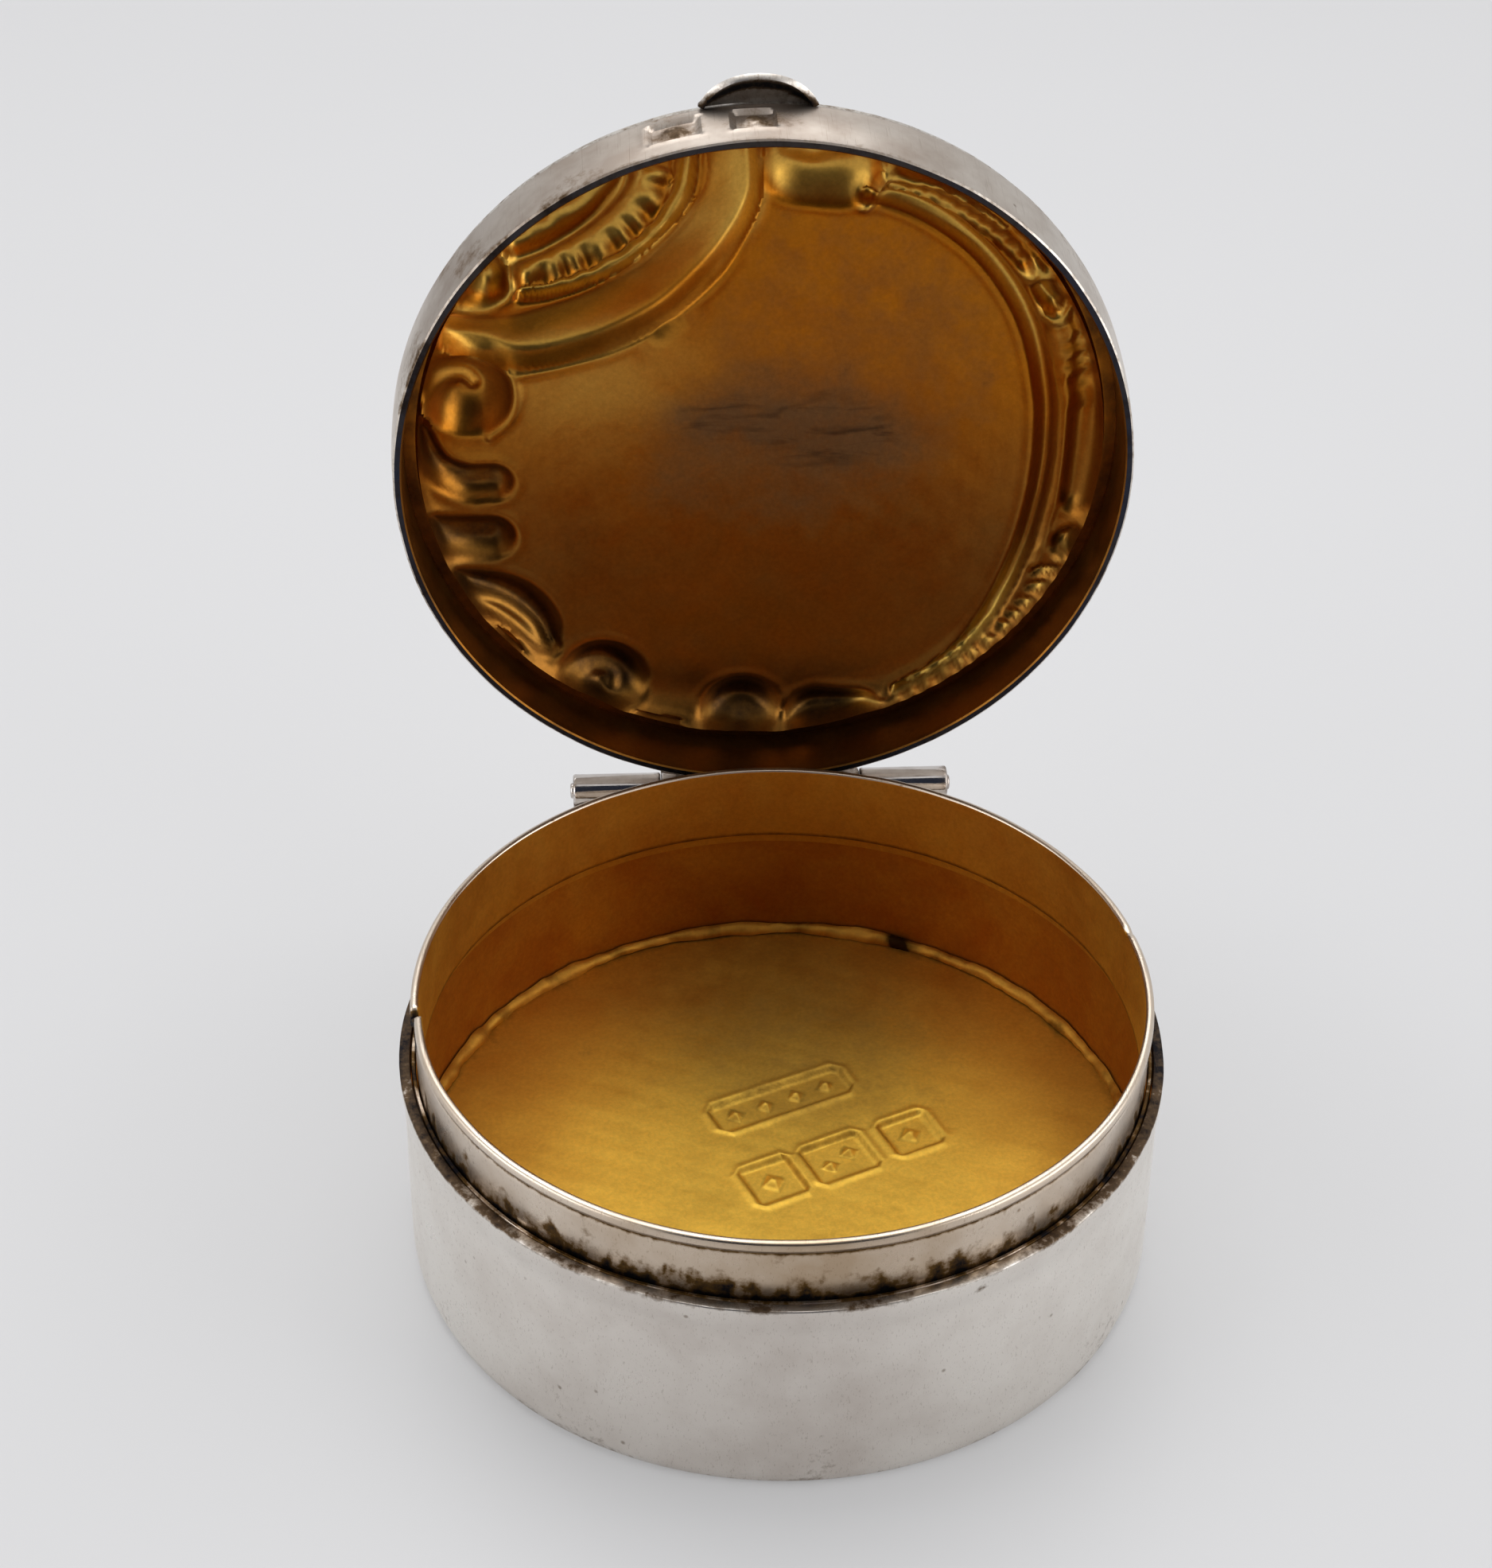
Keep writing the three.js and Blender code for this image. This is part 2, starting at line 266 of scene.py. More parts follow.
@dataclass(frozen=True)
class Silver:
    """Sterling silver, raised from sheet, soldered, polished and then handled for a century.

    The polish has dulled to a satin skin with hair scratches and small pits. Brown-black
    sulphide has stayed wherever a cloth doesn't reach, which the piece's own grime attribute
    says; it also carries shade painted under edges and in grooves. The haze attribute says where
    the skin has turned a dull warm grey, and also paints darker reflections on the fronts of the
    wall and liner and on the top of the lid band.
    """

    name: str = "satin_silver_old_polish"
    clean: str = "#F1EDE6"
    warm: str = "#AEA096"
    brown: str = "#6B5742"
    black: str = "#1C1B1F"
    roughness: float = 0.33
    clouding: float = 0.24
    hair: float = 0.22
    scratch_mm: float = 0.07
    cloud_mm: float = 5.0

    def material(self) -> bpy.types.Material:
        """Builds the material.

        Returns:
            The finished material.
        """
        made, wires = start(self.name)
        cloud = wires.noise(self.cloud_mm, Detail=4.0, Roughness=0.6)
        grain = wires.noise(0.45, Detail=3.0, Roughness=0.7)
        # hair scratches: noise stretched fifty to one, in two directions
        hairs = []
        for turn in ((0.3, 0.2, 0.5), (-0.5, 0.7, -0.9)):
            lay = wires.laid(Rotation=turn, Scale=(1.0, 0.02, 0.3))
            hairs.append(wires.ramp(wires.noise(self.scratch_mm, Vector=lay, Detail=1.0), 0.66, 0.74))
        scratch = wires.maths("MAXIMUM", *hairs)
        # pits left by firescale and dirt, a few tenths of a millimetre wide and far apart
        pits = add(wires.tree, "TexVoronoi", Vector=wires.where, Scale=1 / (1.9 * MM), Randomness=1.0)
        pit = wires.ramp(pits.outputs["Distance"], 0.075, 0.03)
        # grime breaks up at its edge into stains, and so does the shade painted with it
        torn = wires.maths("MULTIPLY_ADD", grain, 0.9, -0.45)
        broken = wires.maths("ADD", wires.painted("grime_and_shade"), torn)
        stain = wires.ramp(broken, 0.2, 0.6)
        haze_and_dark_reflection = wires.ramp(cloud, 0.4, 0.7, To_Max=self.clouding)
        # painted haze: a dull warm grey, and also painted darker reflections on some faces
        haze_and_dark_reflection = wires.maths("ADD", haze_and_dark_reflection, wires.painted("haze_and_dark_reflection"), use_clamp=True)
        colour = wires.over(haze_and_dark_reflection, tone(self.clean), self.warm)
        colour = wires.over(stain, colour, self.brown)
        colour = wires.over(wires.ramp(broken, 0.5, 0.95), colour, self.black)
        colour = wires.over(wires.maths("MULTIPLY", pit, 0.6), colour, self.brown)
        colour = wires.over(wires.maths("MULTIPLY", scratch, self.hair), colour, self.brown)
        rough = wires.ramp(cloud, 0.3, 0.75, To_Min=self.roughness - 0.06, To_Max=self.roughness + 0.08)
        rough = wires.maths("MULTIPLY_ADD", stain, 0.25, rough)
        height = wires.maths("MULTIPLY_ADD", scratch, -2.5 * self.hair, grain)
        height = wires.maths("MULTIPLY_ADD", pit, -1.2, height)
        wires.end(colour, rough, Metallic=1.0, Normal=wires.relief(height, 0.16, 0.03))
        return made


@dataclass(frozen=True)
class Gilt:
    """Fire gilding over silver, brushed on and never polished.

    The gold is a thin matt skin, so it glows instead of mirroring. It darkens to brown where the
    gilding is thin and where shade is painted on (the patina attribute), and clouds to a purple-grey
    sulphide bloom where the silver has come through (the bloom attribute). Chased parts keep a
    thicker, yellower skin, with highlights painted on it (the fresh attribute). Old wax in the
    corners is the grime attribute, which also carries painted shade in the lid's deep hollows.
    """

    name: str = "fire_gilt_silver"
    bright: str = "#F0C552"
    brown: str = "#A0581A"
    bloom: str = "#7A5A34"
    dark: str = "#2E1B0A"
    thick: str = "#F2CF66"
    roughness: float = 0.55

    def material(self) -> bpy.types.Material:
        """Builds the material.

        Returns:
            The finished material.
        """
        made, wires = start(self.name)
        cloud = wires.noise(4.5, Detail=5.0, Roughness=0.62, Distortion=0.4)
        grain = wires.noise(0.22, Detail=2.0, Roughness=0.7)
        patch = wires.noise(1.5, Detail=4.0, Roughness=0.65)
        sulphide = wires.painted("bloom")
        drift = wires.maths("MULTIPLY_ADD", cloud, 0.5, -0.25)
        aged = wires.maths("ADD", wires.painted("patina_and_shade"), drift, use_clamp=True)
        veil = wires.maths("MULTIPLY_ADD", patch, 1.0, -0.5)
        veil = wires.ramp(wires.maths("MULTIPLY_ADD", veil, 0.8, sulphide), 0.1, 0.95)
        held = wires.maths("MULTIPLY_ADD", patch, 0.8, -0.4)
        held = wires.ramp(wires.maths("ADD", held, wires.painted("grime_and_shade")), 0.15, 0.8)
        colour = wires.over(aged, tone(self.bright), self.brown)
        # the chasing's thicker gilding, with the highlights painted along with it
        colour = wires.over(wires.painted("thick_gilt_and_highlight"), colour, self.thick)
        colour = wires.over(veil, colour, self.bloom)
        colour = wires.over(held, colour, self.dark)
        # thin dark strokes where the bloom is strong, as of letters long rubbed away
        lay = wires.laid(Scale=(0.2, 1.0, 1.0), Rotation=(0.0, 0.12, 0.0))
        thin = wires.ramp(wires.noise(0.75, Vector=lay, Detail=2.0, Distortion=1.2), 0.5, 0.68)
        rubbed = wires.ramp(sulphide, 0.6, 1.0, To_Max=0.6)
        colour = wires.over(wires.maths("MULTIPLY", thin, rubbed), colour, self.dark)
        colour = wires.times(colour, wires.ramp(grain, 0.35, 0.7, To_Min=0.9, To_Max=1.06))
        rough = wires.ramp(patch, 0.3, 0.7, To_Min=self.roughness - 0.05, To_Max=self.roughness + 0.07)
        rough = wires.maths("MULTIPLY_ADD", veil, 0.12, rough)
        wires.end(colour, rough, Metallic=1.0, Normal=wires.relief(grain, 0.22, 0.025))
        return made


@dataclass(frozen=True)
class PaleTable:
    """White opal acrylic table top, lit softly from below so that shadows stay faint."""

    colour: str = "#A6A6A8"
    glow: float = 0.2

    def material(self) -> bpy.types.Material:
        """Builds the material.

        Returns:
            The finished material.
        """
        made, wires = start("opal_acrylic_lit_from_below")
        shade = wires.ramp(wires.noise(60.0, Detail=2.0), 0.0, 1.0, To_Min=0.97, To_Max=1.02)
        colour = wires.times(tone(self.colour), shade)
        wires.end(colour, 0.6, Emission_Color=tone("#FFFFFF"), Emission_Strength=self.glow)
        return made


@dataclass
class Finishes:
    """The materials that the pieces are dressed in."""

    silver: bpy.types.Material
    stained: bpy.types.Material
    dulled: bpy.types.Material
    worn: bpy.types.Material
    oxide: bpy.types.Material
    gilt: bpy.types.Material
    lid_gilt: bpy.types.Material

    @classmethod
    def make(cls) -> "Finishes":
        """Builds every finish once."""
        return cls(
            silver=Silver().material(),
            stained=Silver(name="liner_silver_stained", clean="#D9CBBB", warm="#B59F86", brown="#6E5128",
                           roughness=0.3, clouding=0.45, cloud_mm=3.2).material(),
            dulled=Silver(name="lid_silver_dulled", clean="#DDD6CD", warm="#9E9186", roughness=0.4,
                          clouding=0.45, cloud_mm=3.5).material(),
            worn=Silver(name="hinge_silver_tarnished", clean="#D6D0CC", warm="#9A8C84", roughness=0.14,
                        clouding=0.4, cloud_mm=1.6, hair=0.02).material(),
            # blue-black silver that paints the dark reflection on the lid band's end face
            oxide=Silver(name="silver_blue_black_oxide", clean="#2A2E3C", warm="#3B3634", brown="#2A2320",
                         roughness=0.3, clouding=0.7, cloud_mm=2.0).material(),
            gilt=Gilt().material(),
            lid_gilt=Gilt(name="fire_gilt_silver_lid", bright="#B4690C", brown="#7C5829", bloom="#785838",
                          dark="#2C201A", roughness=0.36).material(),
        )


# --------------------------------------------------------------------------- making meshes


def pick(piece: bpy.types.Object) -> None:
    """Makes a piece the only selected one, and the active one."""
    bpy.ops.object.select_all(action="DESELECT")
    piece.select_set(True)
    bpy.context.view_layer.objects.active = piece


def edit(piece: bpy.types.Object) -> None:
    """Enters edit mode on a piece with all of it selected."""
    pick(piece)
    bpy.ops.object.mode_set(mode="EDIT")
    bpy.ops.mesh.select_all(action="SELECT")


def leave() -> None:
    """Goes back to object mode."""
    bpy.ops.object.mode_set(mode="OBJECT")


def drawn(name: str, points: Sequence[Sequence[float]], closed: bool) -> bpy.types.Object:
    """Draws an outline as a chain of edges.

    Args:
        name: The piece's name.
        points: The chain's points in millimetres.
        closed: Whether the last point joins the first.

    Returns:
        The new object, whose mesh is only that chain.
    """
    mesh = bpy.data.meshes.new(name)
    count = len(points)
    edges = [(i, (i + 1) % count) for i in range(count if closed else count - 1)]
    mesh.from_pydata([tuple(c * MM for c in p) for p in points], edges, [])
    piece = bpy.data.objects.new(name, mesh)
    bpy.context.scene.collection.objects.link(piece)
    return piece


def turned(
    name: str,
    outline: Sequence[tuple[float, float]],
    steps: int,
    closed: bool = True,
    centre: Point = (0.0, 0.0, 0.0),
    upright: bool = True,
) -> bpy.types.Object:
    """Turns an outline all the way round an axis, as on a lathe.

    Args:
        name: The piece's name.
        outline: Radius and place along the axis, in millimetres.
        steps: How many steps the turn has.
        closed: Whether the outline closes on itself.
        centre: A point on the axis, in millimetres.
        upright: Whether the axis is +Z. Otherwise it is +Y, the open lid's own axis.

    Returns:
        The turned piece, with its normals outwards.
    """
    points = [(r, 0.0, a) if upright else (r, a, 0.0) for r, a in outline]
    piece = drawn(name, points, closed)
    piece.location = [c * MM for c in centre]
    apply_modifier(piece, "SCREW", axis="Z" if upright else "Y", angle=2 * math.pi, steps=steps,
                   render_steps=steps, use_merge_vertices=True, merge_threshold=0.002 * MM)
    bpy.ops.object.transform_apply(location=True, rotation=False, scale=False)
    edit(piece)
    bpy.ops.mesh.remove_doubles(threshold=0.002 * MM)
    bpy.ops.mesh.normals_make_consistent(inside=False)
    leave()
    return piece


def points_of(piece: bpy.types.Object) -> Array:
    """A piece's vertices in millimetres, one a row."""
    flat = np.zeros(len(piece.data.vertices) * 3, np.float32)
    piece.data.vertices.foreach_get("co", flat)
    return flat.reshape(-1, 3).astype(float) / MM


def shape(piece: bpy.types.Object, shaper: Shaper) -> None:
    """Moves a piece's vertices by a rule, in millimetres."""
    moved = shaper(points_of(piece)) * MM
    piece.data.vertices.foreach_set("co", moved.astype(np.float32).ravel())
    piece.data.update()


def paint(piece: bpy.types.Object, name: str, values: Array | float) -> None:
    """Writes one number for each vertex, or the same for all, to a named attribute."""
    layer = piece.data.attributes.get(name) or piece.data.attributes.new(name, "FLOAT", "POINT")
    each = np.broadcast_to(values, len(piece.data.vertices))
    layer.data.foreach_set("value", each.astype(np.float32))


def face_places(piece: bpy.types.Object) -> tuple[Array, Array]:
    """Centres in millimetres and normals of a piece's faces."""
    count = len(piece.data.polygons)
    centres, normals = np.zeros(count * 3, np.float32), np.zeros(count * 3, np.float32)
    piece.data.polygons.foreach_get("center", centres)
    piece.data.polygons.foreach_get("normal", normals)
    return centres.reshape(-1, 3) / MM, normals.reshape(-1, 3)


def face_along(piece: bpy.types.Object, axis: int) -> None:
    """Turns an open sheet's faces to look along an axis."""
    if np.mean(face_places(piece)[1][:, axis]) < 0.0:
        edit(piece)
        bpy.ops.mesh.flip_normals()
        leave()


def dress(
    piece: bpy.types.Object,
    materials: Sequence[bpy.types.Material],
    chooser: Callable[[Array, Array], Array] | None = None,
) -> None:
    """Gives a piece its materials.

    Args:
        piece: The piece.
        materials: Its materials in slot order.
        chooser: Takes face centres and normals, and returns each face's slot number. Without
            it the faces keep the slots that they have.
    """
    piece.data.materials.clear()
    for material in materials:
        piece.data.materials.append(material)
    if chooser is not None:
        centres, normals = face_places(piece)
        piece.data.polygons.foreach_set("material_index", chooser(centres, normals).astype(np.int32))
    piece.data.update()


def settle(
    piece: bpy.types.Object, body: Body, nodes: Sequence[str], smooth: float = 38.0
) -> bpy.types.Object:
    """Finishes a piece and sets it in the frame.

    Args:
        piece: The finished mesh, already in place.
        body: The body that it rides on.
        nodes: The CAD nodes that it stands for.
        smooth: Edges sharper than this many degrees stay sharp.

    Returns:
        The piece.
    """
    pick(piece)
    bpy.ops.object.shade_smooth_by_angle(angle=math.radians(smooth))
    piece.select_set(False)
    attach(piece, body.value)
    if nodes:
        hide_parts(*nodes)
    LOG.info("%s: %d faces, rides on %s", piece.name, len(piece.data.polygons), body.value)
    return piece


def apply_modifier(piece: bpy.types.Object, kind: str, **settings: object) -> None:
    """Adds a modifier with its settings and applies it."""
    pick(piece)
    made = piece.modifiers.new(kind.lower(), kind)
    for name, value in settings.items():
        setattr(made, name, value)
    bpy.ops.object.modifier_apply(modifier=made.name)


def softened(node: str, name: str, width: float) -> bpy.types.Object:
    """A copy of a CAD node with its corners rounded by filing.

    Args:
        node: The CAD node to copy.
        name: The new piece's name.
        width: How far the rounding reaches from each edge, in millimetres.

    Returns:
        The new piece.
    """
    piece = bpy.data.objects.new(name, bpy.data.objects[node].data.copy())
    bpy.context.scene.collection.objects.link(piece)
    edit(piece)
    bpy.ops.mesh.remove_doubles(threshold=0.002 * MM)
    bpy.ops.mesh.dissolve_limited(angle_limit=math.radians(1.0))
    leave()
    apply_modifier(piece, "BEVEL", width=width * MM, segments=2, limit_method="ANGLE",
                   angle_limit=math.radians(40.0), use_clamp_overlap=True)
    return piece


def arc(
    centre: tuple[float, float], radius: float, first: float, last: float, count: int
) -> list[tuple[float, float]]:
    """Points of a circular arc.

    Args:
        centre: The arc's centre.
        radius: Its radius.
        first: Its first angle in degrees.
        last: Its last angle in degrees.
        count: How many points.

    Returns:
        The points, both ends among them.
    """
    turns = np.radians(np.linspace(first, last, count))
    return [(centre[0] + radius * math.cos(t), centre[1] + radius * math.sin(t)) for t in turns]


def line(first: tuple[float, float], last: tuple[float, float], count: int) -> list[tuple[float, float]]:
    """Evenly spaced points of a straight line, both ends among them."""
    return [tuple(p) for p in np.linspace(first, last, count)]


# --------------------------------------------------------------------------- chasing


@dataclass(frozen=True)
class Stroke:
    """One stroke of the chaser's tool along a curve.

    Attributes:
        tool: What the stroke does.
        path: Points of its middle line with half its width: across, up, half width.
        depth: How deep or high it is.
        pitch: The distance between flutes along the path.
        lean: How far a hollow's deepest line lies to the left of its middle, from -1 to 1.
    """

    tool: Tool
    path: tuple[Point, ...]
    depth: float
    pitch: float = 1.0
    lean: float = 0.0

    def curve(self) -> Array:
        """The path as a smooth curve with many points."""
        p = np.array(self.path, float)
        if len(p) < 3:
            return p
        p = np.vstack([2 * p[0] - p[1], p, 2 * p[-1] - p[-2]])
        t = np.linspace(0.0, 1.0, 6, endpoint=False)[:, None]
        out = []
        for a, b, c, d in zip(p[:-3], p[1:-2], p[2:-1], p[3:]):
            bend, twist = 2 * a - 5 * b + 4 * c - d, 3 * b - a - 3 * c + d
            out.append(0.5 * (2 * b + (c - a) * t + bend * t**2 + twist * t**3))
        return np.vstack(out + [p[-2:-1]])

    def measure(self, spots: Array) -> tuple[Array, Array, Array, Array]:
        """Measures spots against the curve.

        Args:
            spots: Places on the sheet, across and up.

        Returns:
            Each spot's distance from the curve, place along it, half width there, and side:
            1 to the left of the curve, -1 to the right.
        """
        track = self.curve()
        near = np.full(len(spots), 1e9)
        along = np.zeros(len(spots))
        width = np.full(len(spots), track[0, 2])
        side = np.ones(len(spots))
        gone = 0.0
        for a, b in zip(track[:-1], track[1:]):
            way = b[:2] - a[:2]
            size = float(way @ way)
            if size < 1e-9:
                continue
            t = unit(((spots - a[:2]) @ way) / size)
            d = np.hypot(*(spots - a[:2] - t[:, None] * way).T)
            closer = d < near
            near = np.where(closer, d, near)
            along = np.where(closer, gone + t * math.sqrt(size), along)
            width = np.where(closer, a[2] + t * (b[2] - a[2]), width)
            turn = way[0] * (spots[:, 1] - a[1]) - way[1] * (spots[:, 0] - a[0])
            side = np.where(closer, np.sign(turn), side)
            gone += math.sqrt(size)
        return near, along, width, side

    def strike(self, spots: Array, depth: Array) -> Array:
        """Works the stroke into the sheet.

        Args:
            spots: Places on the sheet, across and up.
            depth: How far each place is already sunk away from the eye.

        Returns:
            The new depths.
        """
        track = self.curve()
        reach = track[:, 2].max() * 2.2 + 0.6
        low, high = track[:, :2].min(0) - reach, track[:, :2].max(0) + reach
        close = np.all((spots > low) & (spots < high), axis=1)
        struck = depth.copy()
        struck[close] = self.press(spots[close], depth[close])
        return struck

    def press(self, spots: Array, depth: Array) -> Array:
        """Works the stroke into the spots near it, as strike does."""
        near, along, width, side = self.measure(spots)
        t = unit(near / width)
        if self.tool is Tool.HOLLOW:
            off = side * t - self.lean
            slope = unit(np.where(off > 0.0, off / (1.0 - self.lean), -off / (1.0 + self.lean)))
            sunk = self.depth * (1.0 - slope**2.0) ** 1.1
            deeper = np.maximum(sunk - np.maximum(depth, 0.0), 0.0)
            lip = 0.05 * bump(near - width - 0.25, 0.2) * (near > width)
            return depth + deeper - lip
        if self.tool is Tool.RIDGE:
            return depth - self.depth * bump(near, 1.0) ** (1.0 / np.maximum(width, 0.05) ** 2)
        uneven = along / self.pitch + 0.12 * np.sin(along * 1.7)
        flute = 0.5 + 0.5 * np.cos(2.0 * math.pi * uneven)
        return depth - self.depth * flute * (1.0 - t**2.0)


def hollow(depth: float, *path: Point, lean: float = 0.0) -> Stroke:
    """A stroke that sinks a trough."""
    return Stroke(Tool.HOLLOW, path, depth, lean=lean)


def ridge(depth: float, *path: Point) -> Stroke:
    """A stroke that leaves a raised line."""
    return Stroke(Tool.RIDGE, path, depth)


def flutes(depth: float, pitch: float, *path: Point) -> Stroke:
    """A run of strokes across a band."""
    return Stroke(Tool.FLUTES, path, depth, pitch)


